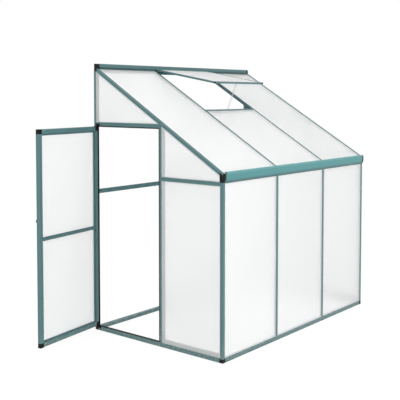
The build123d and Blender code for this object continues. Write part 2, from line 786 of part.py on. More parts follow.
def ridge_seat():
    """Slope distance of a sheet's upper edge in the groove of the ridge."""
    return (RIDGE_DEPTH + (SHEET_FACE + SHEET) * SLOPE_SIN) / SLOPE_COS + EDGE_CLEARANCE


# Door bay
def make_door_seal():
    """Four rubber strips in the grooves round the door bay."""
    section = seal_section()
    stem = BAR_TUBE / 2
    reach = LIP + SEAL_SHOW
    rear = -(EDGE_TUBE + LIP)
    front = -(JAMB - stem - LIP)
    low = SILL_TUBE + reach
    jamb = -(JAMB - stem)
    head = HEADER_HEIGHT - RAIL_TUBE / 2
    high = head - reach
    strips = [
        bar(section + seal_fin(), (-HALF, -EDGE_TUBE, low), (-HALF, -EDGE_TUBE, high), FRONT, LEFT),
        bar(section, (-HALF, jamb, low), (-HALF, jamb, high), REAR, LEFT),
        bar(section, (-HALF, rear, SILL_TUBE), (-HALF, front, SILL_TUBE), UP, LEFT),
        bar(section, (-HALF, rear, head), (-HALF, front, head), DOWN, LEFT),
    ]
    return Compound(children=strips)


def make_pivot(plate_low, leaf_low, leaf_high, pin_low, pin_high):
    """Pivot bracket: a leaf on the frame, a plate that stands out and a pin for the door."""
    face = -HALF - PIVOT_PLATE
    near = PIVOT_Y + PIVOT_PLATE_REACH
    far = PIVOT_Y - PIVOT_PLATE_REACH
    leaf = span_box((face, near - PIVOT_LEAF, leaf_low), (-HALF, near, leaf_high))
    outer = PIVOT_X - PIVOT_PLATE_REACH
    plate = span_box((outer, far, plate_low), (-HALF, near, plate_low + PIVOT_PLATE))
    pin = Pos(PIVOT_X, PIVOT_Y, (pin_low + pin_high) / 2) * Cylinder(PIVOT_RADIUS, pin_high - pin_low)
    return leaf + plate + pin


def make_upper_pivot():
    """Pivot bracket on the header."""
    plate = DOOR_TOP + PIVOT_GAP
    return make_pivot(plate, plate, plate + PIVOT_LEAF_HEIGHT, DOOR_TOP - PIVOT_DEEP, plate + PIVOT_PLATE)


def make_lower_pivot():
    """Pivot bracket on the side base rail."""
    plate = DOOR_BOTTOM - PIVOT_GAP - PIVOT_PLATE
    top = plate + PIVOT_PLATE
    return make_pivot(plate, top - PIVOT_LEAF_HEIGHT, top, plate, DOOR_BOTTOM + PIVOT_DEEP)


def make_washer():
    """Washer on the lower pivot that carries the door."""
    thick = PIVOT_GAP - WASHER_PLAY
    ring = Cylinder(WASHER_RADIUS, thick) - Cylinder(PIVOT_RADIUS + PIVOT_CLEARANCE, 2 * thick)
    return Pos(PIVOT_X, PIVOT_Y, DOOR_BOTTOM - PIVOT_GAP + thick / 2) * ring


# Door, drawn closed
def swung(solid):
    """Door piece turned from closed to its open place."""
    return solid.rotate(Axis((PIVOT_X, PIVOT_Y, 0), UP), -DOOR_OPEN)


def make_stile(y, into):
    """Door stile between its two corner blocks."""
    start = (-DOOR_FACE, y, DOOR_BOTTOM + DOOR_TUBE)
    end = (-DOOR_FACE, y, DOOR_TOP - DOOR_TUBE)
    return bar(door_section(), start, end, into, LEFT)


def make_door_rail(z, into, *stiles):
    """Top or bottom rail between the corner blocks."""
    start = (-DOOR_FACE, -(DOOR_HINGE_EDGE + DOOR_TUBE), z)
    end = (-DOOR_FACE, -(DOOR_FREE_EDGE - DOOR_TUBE), z)
    return coped(bar(door_section(), start, end, into, LEFT), *stiles)


def make_door_mid_rail(*stiles):
    """Slim middle rail with a groove above and below."""
    reach = DOOR_MID_TUBE / 2 + DOOR_MID_LIP
    middle = -DOOR_THICKNESS / 2
    body = Pos(0, middle) * Rectangle(DOOR_MID_TUBE, DOOR_THICKNESS)
    lips = Pos(0, middle) * Rectangle(2 * reach, GROOVE + 2 * WALL)
    gap = Pos(0, middle) * Rectangle(2 * reach, GROOVE)
    bore = hollow_face((0, middle), DOOR_MID_TUBE, DOOR_THICKNESS)
    section = body + (lips - gap) - bore
    start = (-DOOR_FACE, -(DOOR_HINGE_EDGE + DOOR_TUBE), DOOR_MID_HEIGHT)
    end = (-DOOR_FACE, -(DOOR_FREE_EDGE - DOOR_TUBE), DOOR_MID_HEIGHT)
    return coped(bar(section, start, end, UP, LEFT), *stiles)


def make_door_corner(y, z, into, rise, bored):
    """Corner block with a spigot in the stile and one in the rail."""
    plug = door_bore(SPIGOT_CLEARANCE)
    along = Vector(*into)
    stile_end = z + rise * DOOR_TUBE
    outer = Plane((-DOOR_FACE, y, z), x_dir=into, z_dir=along.cross(Vector(*LEFT)))
    solid = outline(
        (0, -DOOR_CHAMFER),
        (DOOR_CHAMFER, 0),
        (DOOR_TUBE, 0),
        (DOOR_TUBE, -DOOR_THICKNESS),
        (DOOR_CHAMFER, -DOOR_THICKNESS),
        (0, DOOR_CHAMFER - DOOR_THICKNESS),
    )
    block = extrude(outer * solid, amount=rise * DOOR_TUBE, dir=UP)
    stile_start = (-DOOR_FACE, y, stile_end)
    stile_plug = bar(plug, stile_start, (-DOOR_FACE, y, stile_end + rise * SPIGOT), into, LEFT)
    rail_y = y + along.Y * DOOR_TUBE
    rail_into = UP if rise > 0 else DOWN
    rail_end = (-DOOR_FACE, rail_y + along.Y * SPIGOT, z)
    rail_plug = bar(plug, (-DOOR_FACE, rail_y, z), rail_end, rail_into, LEFT)
    corner = block + stile_plug + rail_plug
    if bored:
        bore = Cylinder(PIVOT_RADIUS + PIVOT_CLEARANCE, 2 * (PIVOT_DEEP + EDGE_CLEARANCE))
        corner = corner - Pos(PIVOT_X, PIVOT_Y, z) * bore
    return corner


def make_door_corners():
    """The four corner blocks of the door, with pivot bores on the hinge side."""
    corners = []
    for y, into, bored in ((-DOOR_HINGE_EDGE, FRONT, True), (-DOOR_FREE_EDGE, REAR, False)):
        for z, rise in ((DOOR_BOTTOM, 1), (DOOR_TOP, -1)):
            corners.append(swung(make_door_corner(y, z, into, rise, bored)))
    return Compound(children=corners)


def make_door_sheet(z_low, z_high):
    """Sheet of the door."""
    rear = -(DOOR_HINGE_EDGE + DOOR_TUBE + EDGE_CLEARANCE)
    front = -(DOOR_FREE_EDGE - DOOR_TUBE - EDGE_CLEARANCE)
    x = -DOOR_FACE + DOOR_THICKNESS / 2 - SHEET / 2
    return span_box((x, front, z_low), (x + SHEET, rear, z_high))


def make_knob():
    """Low round pull on the outside of the free stile: a foot, a neck and a bevelled head."""
    half = outline(
        (0, 0),
        (KNOB_FOOT, 0),
        (KNOB_NECK, KNOB_FOOT_HEIGHT),
        (KNOB_NECK, KNOB_NECK_HEIGHT),
        (KNOB_RADIUS, KNOB_BROAD),
        (KNOB_RADIUS, KNOB_LENGTH - KNOB_BEVEL),
        (KNOB_RADIUS - KNOB_BEVEL, KNOB_LENGTH),
        (0, KNOB_LENGTH),
    )
    knob = revolve(half, Axis.Y)
    y = -(DOOR_FREE_EDGE - DOOR_TUBE / 2)
    return Pos(-DOOR_FACE, y, DOOR_MID_HEIGHT + KNOB_RISE) * Rot(0, 0, 90) * knob


def build_door():
    """All pieces of the door in their open place."""
    hinge_stile = make_stile(-DOOR_HINGE_EDGE, FRONT)
    free_stile = make_stile(-DOOR_FREE_EDGE, REAR)
    stiles = (hinge_stile, free_stile)
    rail_seat = DOOR_TUBE + EDGE_CLEARANCE
    mid_seat = DOOR_MID_TUBE / 2 + EDGE_CLEARANCE
    pieces = {
        "door_hinge_stile": hinge_stile,
        "door_free_stile": free_stile,
        "door_top_rail": make_door_rail(DOOR_TOP, DOWN, *stiles),
        "door_mid_rail": make_door_mid_rail(*stiles),
        "door_bottom_rail": make_door_rail(DOOR_BOTTOM, UP, *stiles),
        "door_upper_sheet": make_door_sheet(DOOR_MID_HEIGHT + mid_seat, DOOR_TOP - rail_seat),
        "door_lower_sheet": make_door_sheet(DOOR_BOTTOM + rail_seat, DOOR_MID_HEIGHT - mid_seat),
        "door_knob": make_knob(),
    }
    door = {name: swung(piece) for name, piece in pieces.items()}
    door["door_corner_blocks"] = make_door_corners()
    return door


# Roof vent, drawn closed
def lifted(solid):
    """Vent piece turned from closed to its propped place."""
    y, z = hinge_line()
    return solid.rotate(Axis((0, y, z), LEFT), VENT_OPEN)


def hinge_slope():
    """Distance of the hinge line from the wall line, along the slope."""
    y, z = hinge_line()
    return -y * SLOPE_COS + (ROOF_TOP - z) * SLOPE_SIN


def vent_section():
    """Slim edge bar of the vent."""
    return edge_section(VENT_TUBE, VENT_DEPTH, VENT_LIP, VENT_FLANGE)


def vent_top():
    """Slope distance of the top bar's upper edge."""
    return hinge_slope() + NECK_LENGTH


def make_vent_top_bar():
    """Top bar of the vent, with the bead that turns in the ridge."""
    half = BAY / 2
    start = roof_point(-half, vent_top(), -VENT_FACE)
    end = roof_point(half, vent_top(), -VENT_FACE)
    top = bar(vent_section(), start, end, DOWN_SLOPE, ROOF_OUT)
    y, z = hinge_line()
    bead = rod_along_x(BEAD_RADIUS, -half, half, (0, y, z))
    slope_span = (hinge_slope() + BEAD_RADIUS / 2, vent_top() + WALL / 2)
    neck = roof_box((-half, half), slope_span, (-SOCKET_RISE - NECK / 2, -SOCKET_RISE + NECK / 2))
    return top + neck + bead


def make_vent_bottom_bar():
    """Bottom bar of the vent."""
    start = roof_point(-BAY / 2, VENT_END, -VENT_FACE)
    end = roof_point(BAY / 2, VENT_END, -VENT_FACE)
    return bar(vent_section(), start, end, UP_SLOPE, ROOF_OUT)


def make_vent_side_bar(side, *ends):
    """Side bar of the vent, cut between the top and bottom bars."""
    x = side * BAY / 2
    into = RIGHT if side < 0 else LEFT
    start = roof_point(x, vent_top() + VENT_TUBE, -VENT_FACE)
    end = roof_point(x, VENT_END - VENT_TUBE, -VENT_FACE)
    return coped(bar(vent_section(), start, end, into, ROOF_OUT), *ends)


def make_vent_sheet():
    """Sheet of the vent."""
    seat = VENT_TUBE + EDGE_CLEARANCE
    upper = SHEET_FACE - VENT_FACE
    x = BAY / 2 - seat
    return roof_box((-x, x), (vent_top() + seat, VENT_END - seat), (upper, upper + SHEET))


def stay_pivot():
    """Pivot of the stay on the closed vent."""
    return roof_point(0, STAY_SLOPE, STAY_DROP - SOCKET_RISE)


def turned_point(point, angle):
    """Point of the closed vent after it has opened by an angle."""
    y, z = hinge_line()
    turn = radians(angle)
    ahead = point[1] - y
    above = point[2] - z
    return (
        point[0],
        y + ahead * cos(turn) + above * sin(turn),
        z - ahead * sin(turn) + above * cos(turn),
    )


def stay_reach(angle):
    """Distance from the stay pivot to the peg when the vent is open by an angle."""
    pivot = turned_point(stay_pivot(), angle)
    peg = turned_point(stay_pivot(), -STAY_PEG_LAG)
    return hypot(peg[1] - pivot[1], peg[2] - pivot[2])


def make_stay_bracket():
    """Arm on the vent's bottom bar with the pin of the stay."""
    low = -STAY_BRACKET - STAY_PLAY
    pivot = stay_pivot()
    arm_end = VENT_END - VENT_TUBE
    arm = roof_box((low, -STAY_PLAY), (STAY_SLOPE, arm_end), (-STAY_ARM_HIGH, -STAY_ARM_LOW))
    ear = rod_along_x(STAY_EAR, low, -STAY_PLAY, pivot)
    head = STAY_PLATE + STAY_PLAY
    pin = rod_along_x(STAY_PIN_RADIUS, -STAY_PLAY, head, pivot)
    cap = rod_along_x(STAY_PIN_HEAD, head, head + STAY_PIN_HEAD_PLATE, pivot)
    return arm + ear + pin + cap


def make_stay():
    """Slotted bar that holds the vent open."""
    pivot = turned_point(stay_pivot(), VENT_OPEN)
    peg = turned_point(stay_pivot(), -STAY_PEG_LAG)
    reach = stay_reach(VENT_OPEN)
    along = (0, (peg[1] - pivot[1]) / reach, (peg[2] - pivot[2]) / reach)
    first = stay_reach(0)
    last = stay_reach(VENT_OPEN + VENT_FURTHER)
    bar_face = Pos(last / 2, 0) * SlotCenterToCenter(last, STAY_WIDTH)
    slot = Pos((first + last) / 2, 0) * SlotCenterToCenter(last - first, STAY_SLOT)
    hole = Circle(STAY_PIN_RADIUS + PIVOT_CLEARANCE)
    plane = Plane((0, pivot[1], pivot[2]), x_dir=along, z_dir=RIGHT)
    return extrude(plane * (bar_face - slot - hole), amount=STAY_PLATE)


def peg_place():
    """Slope distance and depth of the peg, from the roof face."""
    peg = turned_point(stay_pivot(), -STAY_PEG_LAG)
    drop = ROOF_TOP - peg[2]
    return -peg[1] * SLOPE_COS + drop * SLOPE_SIN, peg[1] * SLOPE_SIN + drop * SLOPE_COS


def make_peg_bracket():
    """Plate on the vent sill with the peg that runs in the slot of the stay."""
    peg = turned_point(stay_pivot(), -STAY_PEG_LAG)
    slope, depth = peg_place()
    high = -PEG_BRACKET_GAP
    x_span = (high - STAY_BRACKET, high)
    arm = roof_box(x_span, (slope, VENT_SILL), (depth - STAY_WIDTH / 2, depth + PEG_BRACKET_UNDER))
    ear = rod_along_x(PEG_BRACKET_UNDER, x_span[0], x_span[1], peg)
    length = STAY_PLATE + STAY_PLAY + NUT_LENGTH
    return arm + ear + rod_along_x(STAY_PEG_RADIUS, high, length, peg)


def make_wing_nut():
    """Wing nut on the peg that clamps the stay."""
    peg = turned_point(stay_pivot(), -STAY_PEG_LAG)
    low = STAY_PLATE + STAY_PLAY
    middle = low + NUT_LENGTH / 2
    body = rod_along_x(NUT_RADIUS, low, low + NUT_LENGTH, peg)
    wings = Pos(middle, peg[1], peg[2]) * Box(NUT_LENGTH, 2 * NUT_WING, NUT_WING_PLATE)
    bore = rod_along_x(STAY_PEG_RADIUS + PIVOT_CLEARANCE, low - NUT_LENGTH, low + 2 * NUT_LENGTH, peg)
    return body + wings - bore


def make_vent_sill(*rafters):
    """Sill bar under the lower edge of the vent; it holds the roof sheet below."""
    reach = BAY / 2 - BAR_TUBE / 2
    section = edge_section(EDGE_TUBE, BAR_DEPTH, LIP, FLANGE)
    start = roof_point(-reach, VENT_SILL, 0)
    end = roof_point(reach, VENT_SILL, 0)
    return coped(bar(section, start, end, DOWN_SLOPE, ROOF_OUT), *rafters)


def make_vent_gusset():
    """Curved plate under the left rafter and the vent sill, in the corner of the opening."""
    corner = roof_point(-(BAY / 2), VENT_SILL + EDGE_TUBE, BAR_DEPTH)
    plane = Plane(corner, x_dir=RIGHT, z_dir=ROOF_OUT)
    face = gusset_face(EDGE_TUBE, EDGE_TUBE + GUSSET, -BAR_TUBE / 2)
    return extrude(plane * face, amount=-GUSSET_PLATE, dir=ROOF_OUT)


def build_vent():
    """All moving pieces of the roof vent in their open place."""
    top = make_vent_top_bar()
    bottom = make_vent_bottom_bar()
    pieces = {
        "vent_top_bar": top,
        "vent_bottom_bar": bottom,
        "vent_sheet": make_vent_sheet(),
        "stay_bracket": make_stay_bracket(),
    }
    vent = {name: lifted(piece) for name, piece in pieces.items()}
    sides = [lifted(make_vent_side_bar(side, top, bottom)) for side in (-1, 1)]
    vent["vent_side_bars"] = Compound(children=sides)
    return vent


def build_frame():
    """The fixed bars of the house."""
    rafter = make_gable_rafter()
    rafters = [rafter, mirrored(rafter)]
    rear_post = make_rear_post(rafter)
    front_post = make_front_post()
    jamb = make_jamb(rafter)
    gutter_cap = make_gutter_cap()
    header = make_header(rear_post, jamb, rafter)
    gable_rail = make_gable_rail(jamb, front_post, gutter_cap, rafter)
    side_sill = make_side_sill(rear_post, jamb, front_post)
    bar_places = [BAY * (number + 1) - HALF for number in range(BAYS - 1)]
    studs = [make_stud(x) for x in bar_places]
    glazing_rafters = [make_glazing_rafter(x) for x in bar_places]
    front_posts = [front_post, mirrored(front_post)]
    ridge_cap = make_ridge_cap()
    gussets = [make_base_gusset(), make_vent_gusset()]
    gussets += [mirrored(gusset) for gusset in gussets]
    corners = [make_base_corner(-DEPTH, 1, CORNER_LIP), make_base_corner(-FRAME_DEPTH, -1, LIP)]
    corners += [mirrored(corner) for corner in corners]
    frame = {
        "front_sill": make_front_sill(*front_posts, *studs),
        "rear_sill": make_rear_sill(),
        "base_corner_blocks": Compound(children=corners),
        "corner_gussets": Compound(children=gussets),
        "front_studs": Compound(children=studs),
        "gable_rails": Compound(children=[gable_rail, mirrored(gable_rail)]),
        "rear_rail": make_rear_rail(),
        "eave_gutter": make_gutter(*front_posts, *studs),
        "gutter_end_caps": Compound(children=[gutter_cap, mirrored(gutter_cap)]),
        "ridge_beam": make_ridge(*rafters, *glazing_rafters),
        "ridge_end_caps": Compound(children=[ridge_cap, mirrored(ridge_cap)]),
        "vent_sill": make_vent_sill(*glazing_rafters),
        "peg_bracket": make_peg_bracket(),
        "stay_wing_nut": make_wing_nut(),
    }
    pairs = {
        "sill": side_sill,
        "rear_post": rear_post,
        "front_post": front_post,
        "jamb_post": jamb,
        "header": header,
        "gable_rafter": rafter,
    }
    for name, piece in pairs.items():
        frame["left_" + name] = piece
        frame["right_" + name] = mirrored(piece)
    for number, glazing_rafter in enumerate(glazing_rafters, start=1):
        frame[f"middle_rafter_{number}"] = glazing_rafter
    return frame


def bay_span(number, seat):
    """Left and right edge of the sheet in one bay, clear of the bars beside it."""
    low = BAY * number - HALF + (EDGE_SEAT if number == 0 else seat)
    high = BAY * (number + 1) - HALF - (EDGE_SEAT if number == BAYS - 1 else seat)
    return low, high


def build_sheets():
    """The fixed glazing sheets."""
    sheets = {}
    gable_sheets = {
        "top": make_gable_top_sheet(),
        "eave": make_gable_eave_sheet(),
        "low": make_gable_low_sheet(),
    }
    for name, sheet in gable_sheets.items():
        sheets[f"left_gable_{name}_sheet"] = sheet
        sheets[f"right_gable_{name}_sheet"] = mirrored(sheet)
    sheets["right_gable_bay_sheet"] = mirrored(make_gable_bay_sheet())
    for number in range(BAYS):
        sheets[f"front_sheet_{number + 1}"] = make_front_sheet(*bay_span(number, STUD_SEAT))
        under_vent = number == BAYS // 2
        slope = VENT_SILL + EDGE_SEAT if under_vent else ridge_seat()
        sheets[f"roof_sheet_{number + 1}"] = make_roof_sheet(*bay_span(number, BAR_SEAT), slope)
    return sheets


def build_door_fittings():
    """Fixed pieces that carry and seal the door."""
    return {
        "door_seal": make_door_seal(),
        "door_pivots": Compound(children=[make_upper_pivot(), make_lower_pivot()]),
        "door_washer": make_washer(),
    }


def main():
    """Build every piece and write one file for each."""
    os.makedirs("parts", exist_ok=True)
    pieces = {}
    pieces.update(build_frame())
    pieces.update(build_sheets())
    pieces.update(build_door_fittings())
    pieces.update(build_door())
    pieces.update(build_vent())
    pieces["vent_stay"] = make_stay()
    for name, piece in pieces.items():
        export_step(piece, f"parts/{name}.step")
    print(len(pieces), "pieces")


if __name__ == "__main__":
    main()
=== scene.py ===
"""Looks of the lean-to greenhouse: finishes, fluted sheets, small fittings and a plain studio."""
import json
import logging
import math
from dataclasses import dataclass
from enum import Enum

import bmesh
import bpy
from mathutils import Matrix, Vector

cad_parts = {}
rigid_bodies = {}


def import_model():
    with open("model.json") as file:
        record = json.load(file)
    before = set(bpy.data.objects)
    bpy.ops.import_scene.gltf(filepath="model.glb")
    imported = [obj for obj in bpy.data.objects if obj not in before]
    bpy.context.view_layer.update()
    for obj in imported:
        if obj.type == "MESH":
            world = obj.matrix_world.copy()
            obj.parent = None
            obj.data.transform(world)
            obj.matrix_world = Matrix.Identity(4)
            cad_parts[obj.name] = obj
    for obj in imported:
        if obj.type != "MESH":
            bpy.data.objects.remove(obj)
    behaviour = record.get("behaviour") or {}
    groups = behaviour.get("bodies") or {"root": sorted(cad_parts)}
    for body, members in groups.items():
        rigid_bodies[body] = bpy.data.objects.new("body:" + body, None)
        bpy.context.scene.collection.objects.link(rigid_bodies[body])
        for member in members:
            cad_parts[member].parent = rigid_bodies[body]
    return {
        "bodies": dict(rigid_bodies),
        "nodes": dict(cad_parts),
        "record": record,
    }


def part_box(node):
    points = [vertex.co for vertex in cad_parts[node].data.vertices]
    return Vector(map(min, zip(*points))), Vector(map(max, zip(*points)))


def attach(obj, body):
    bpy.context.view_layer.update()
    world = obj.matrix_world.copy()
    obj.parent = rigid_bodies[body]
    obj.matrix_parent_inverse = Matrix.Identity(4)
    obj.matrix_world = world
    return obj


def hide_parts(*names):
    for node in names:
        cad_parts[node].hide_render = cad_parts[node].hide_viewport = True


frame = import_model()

LOG = logging.getLogger("greenhouse")
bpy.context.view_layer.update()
SIDES = (-1.0, 1.0)
NEAR = 1e-6
EAST = Vector((1.0, 0.0, 0.0))
NORTH = Vector((0.0, 1.0, 0.0))
UP = Vector((0.0, 0.0, 1.0))
WHITE = (1.0, 1.0, 1.0, 1.0)
WASHER_STEPS = 20

# Sizes of a fastener, as shares of the radius of its head.
WASHER_THICK = 0.16
WASHER_FOOT = 1.32
WASHER_TOP = 1.26
HEAD_TALL = 0.55
HEAD_ROUNDING = 0.14

Socket = bpy.types.NodeSocket
Node = bpy.types.Node
Value = float | tuple[float, ...] | Socket
Pair = tuple[float, float]
Span = tuple[float, float]
Triple = tuple[float, float, float]
Colour = tuple[float, float, float]
Paint = tuple[float, float, float, float]
Spots = list[tuple[Vector, Vector]]


class Body(Enum):
    """Bodies that the added pieces ride on."""

    FRAME = "frame"
    DOOR = "door"
    VENT = "vent"


class Slot(Enum):
    """Material slots of the record."""

    FRAME = "frame_green"
    SHEET = "sheet"
    PLASTIC = "black_plastic"
    RUBBER = "seal_rubber"
    METAL = "bare_metal"


class Head(Enum):
    """Heads of the small fasteners: corners round the axis and width of the crown."""

    HEXAGON = (6, 0.92)
    ROUND = (20, 0.62)

    @property
    def corners(self) -> int:
        """Corners round the axis."""
        return self.value[0]

    @property
    def crown(self) -> float:
        """Width of the crown as a share of the foot."""
        return self.value[1]


@dataclass(frozen=True)
class House:
    """Main sizes of the house, in metres and radians."""

    half: float = 0.95
    depth: float = 1.2
    eave: float = 1.241
    pitch: float = math.radians(31.0)
    bay: float = 1.9 / 3
    jamb: float = 0.657
    header: float = 1.5373
    gable_rail: float = 1.174
    sill: float = 0.026
    bar_depth: float = 0.028
    door_pivot: Pair = (-0.960, -0.034)
    door_open: float = math.radians(-82.0)
    vent_hinge: Pair = (-0.038, 1.95087)
    vent_open: float = math.radians(-21.0)

    def roof_out(self) -> Vector:
        """Direction square to the roof, outdoors."""
        return Vector((0.0, -math.sin(self.pitch), math.cos(self.pitch)))

    def roof_point(self, x: float, slope: float, height: float) -> Vector:
        """Point over the roof.

        Args:
            x: Place along the wall.
            slope: Distance from the wall line down the slope.
            height: Distance above the roof face, square to it.

        Returns:
            The point in the frame of the house.
        """
        top = self.eave + self.depth * math.tan(self.pitch)
        along = Vector((0.0, -math.cos(self.pitch), -math.sin(self.pitch)))
        return Vector((x, 0.0, top)) + along * slope + self.roof_out() * height

    def door_turn(self) -> Matrix:
        """Turn of the door from closed to its open place.

        Returns:
            The turn about the pivot pins.
        """
        pivot = Vector((*self.door_pivot, 0.0))
        turn = Matrix.Rotation(self.door_open, 4, "Z")
        return Matrix.Translation(pivot) @ turn @ Matrix.Translation(-pivot)

    def vent_turn(self) -> Matrix:
        """Turn of the vent from closed to its propped place.

        Returns:
            The turn about the hinge along the ridge.
        """
        hinge = Vector((0.0, *self.vent_hinge))
        turn = Matrix.Rotation(self.vent_open, 4, "X")
        return Matrix.Translation(hinge) @ turn @ Matrix.Translation(-hinge)


class ShaderGraph:
    """Node tree of one material with a Principled shader, and short calls to add nodes to it."""

    FLAT = 0.98
    ROUNDED = 0.80
    NOISE_SPAN = (0.3, 0.7)
    MIX_FIRST, MIX_SECOND, MIX_RESULT = 6, 7, 2

    def __init__(self, name: str) -> None:
        """Start a material.

        Args:
            name: Name of the material.
        """
        self.material = bpy.data.materials.new(name)
        self.material.use_nodes = True
        self.tree = self.material.node_tree
        self.tree.nodes.clear()
        self.output = self.add("ShaderNodeOutputMaterial")
        self.shader = self.add("ShaderNodeBsdfPrincipled")
        self.tree.links.new(self.shader.outputs["BSDF"], self.output.inputs["Surface"])

    def add(self, kind: str, **settings: object) -> Node:
        """Add a node.

        Args:
            kind: Type name of the node.
            settings: Values of the node's own properties.

        Returns:
            The new node.
        """
        node = self.tree.nodes.new(kind)
        for key, value in settings.items():
            setattr(node, key, value)
        return node

    def feed(self, socket: Socket, value: Value) -> None:
        """Set a socket or link it.

        Args:
            socket: Input to feed.
            value: A number, a colour or the output that feeds it.
        """
        if isinstance(value, bpy.types.NodeSocket):
            self.tree.links.new(value, socket)
        else:
            socket.default_value = value

    def set(self, **values: Value) -> None:
        """Feed the shader's inputs.

        Args:
            values: What feeds each input, named in lower case with underscores.
        """
        for key, value in values.items():
            names = self.shader.inputs.keys()
            name = next(item for item in names if item.lower().replace(" ", "_") == key)
            self.feed(self.shader.inputs[name], value)

    def place(self) -> Socket:
        """Object coordinates."""
        return self.add("ShaderNodeTexCoord").outputs["Object"]

    def axis(self, vector: Socket, letter: str) -> Socket:
        """One component of a vector.

        Args:
            vector: Vector to take apart.
            letter: X, Y or Z.

        Returns:
            The component.
        """
        node = self.add("ShaderNodeSeparateXYZ")
        self.feed(node.inputs[0], vector)
        return node.outputs[letter]

    def stretched(self, vector: Socket, scale: Triple) -> Socket:
        """Coordinates scaled along each axis.

        Args:
            vector: Coordinates to scale.
            scale: Factor along X, Y and Z.

        Returns:
            The scaled coordinates.
        """
        node = self.add("ShaderNodeMapping")
        self.feed(node.inputs["Vector"], vector)
        node.inputs["Scale"].default_value = scale
        return node.outputs[0]

    def noise(self, vector: Socket, scale: float, detail: float = 2.0) -> Socket:
        """Soft noise between 0 and 1.

        Args:
            vector: Coordinates of the pattern.
            scale: Patches to the metre.
            detail: Finer layers.

        Returns:
            The noise value.
        """
        node = self.add("ShaderNodeTexNoise")
        self.feed(node.inputs["Vector"], vector)
        node.inputs["Scale"].default_value = scale
        node.inputs["Detail"].default_value = detail
        return node.outputs[0]

    def math(self, operation: str, first: Value, second: Value = 0.0) -> Socket:
        """Arithmetic of two values.

        Args:
            operation: Name of the operation.
            first: First value.
            second: Second value, unused by operations that take one.

        Returns:
            The result.
        """
        node = self.add("ShaderNodeMath", operation=operation)
        self.feed(node.inputs[0], first)
        self.feed(node.inputs[1], second)
        return node.outputs[0]

    def ramp(self, value: Socket, low: float, high: float, start: float, end: float) -> Socket:
        """Value brought from one span to another, held at its ends.

        Args:
            value: What is brought over.
            low: Value that gives start.
            high: Value that gives end.
            start: Result at low.
            end: Result at high.

        Returns:
            The value in the new span.
        """
        node = self.add("ShaderNodeMapRange")
        for socket, item in zip(node.inputs, (value, low, high, start, end)):
            self.feed(socket, item)
        return node.outputs[0]

    def spread(self, noise: Socket, start: float, end: float) -> Socket:
        """Noise brought from the span that holds most of it to another."""
        return self.ramp(noise, *self.NOISE_SPAN, start, end)

    def mix(self, share: Value, first: Value, second: Value) -> Socket:
        """Colour between two colours.

        Args:
            share: Share of the second colour.
            first: Colour at zero.
            second: Colour at one.

        Returns:
            The mixed colour.
        """
        node = self.add("ShaderNodeMix", data_type="RGBA")
        self.feed(node.inputs["Factor"], share)
        self.feed(node.inputs[self.MIX_FIRST], first)
        self.feed(node.inputs[self.MIX_SECOND], second)
        return node.outputs[self.MIX_RESULT]

    def bump(self, height: Socket, strength: float, distance: float) -> None:
        """Bend the shader's normal by a height.

        Args:
            height: Pattern of the surface.
            strength: Share of the effect.
            distance: Depth of the pattern, in metres.
        """
        node = self.add("ShaderNodeBump")
        node.inputs["Strength"].default_value = strength
        node.inputs["Distance"].default_value = distance
        self.feed(node.inputs["Height"], height)
        self.feed(self.shader.inputs["Normal"], node.outputs[0])

    def let_light_through(self, tint: Paint) -> None:
        """Let lamps shine through the surface.

        Args:
            tint: Share of the light that passes.
        """
        path = self.add("ShaderNodeLightPath")
        clear = self.add("ShaderNodeBsdfTransparent")
        clear.inputs["Color"].default_value = tint
        mix = self.add("ShaderNodeMixShader")
        self.feed(mix.inputs[0], path.outputs["Is Shadow Ray"])
        self.feed(mix.inputs[1], self.shader.outputs["BSDF"])
        self.feed(mix.inputs[2], clear.outputs["BSDF"])
        self.feed(self.output.inputs["Surface"], mix.outputs[0])

    def edges(self, radius: float) -> Socket:
        """How near a point lies to an edge.

        Args:
            radius: Distance over which an edge is felt, in metres.

        Returns:
            Zero on flat faces and one at an edge.
        """
        bevel = self.add("ShaderNodeBevel", samples=4)
        bevel.inputs["Radius"].default_value = radius
        flat = self.add("ShaderNodeNewGeometry").outputs["Normal"]
        dot = self.add("ShaderNodeVectorMath", operation="DOT_PRODUCT")
        self.feed(dot.inputs[0], bevel.outputs[0])
        self.feed(dot.inputs[1], flat)
        return self.ramp(dot.outputs["Value"], self.FLAT, self.ROUNDED, 0.0, 1.0)


def shade(colour: Colour, light: float = 1.0) -> Paint:
    """A colour made lighter or darker.

    Args:
        colour: Red, green and blue.
        light: Factor on all three.

    Returns:
        The colour with an alpha of one.
    """
    red, green, blue = (channel * light for channel in colour)
    return (red, green, blue, 1.0)


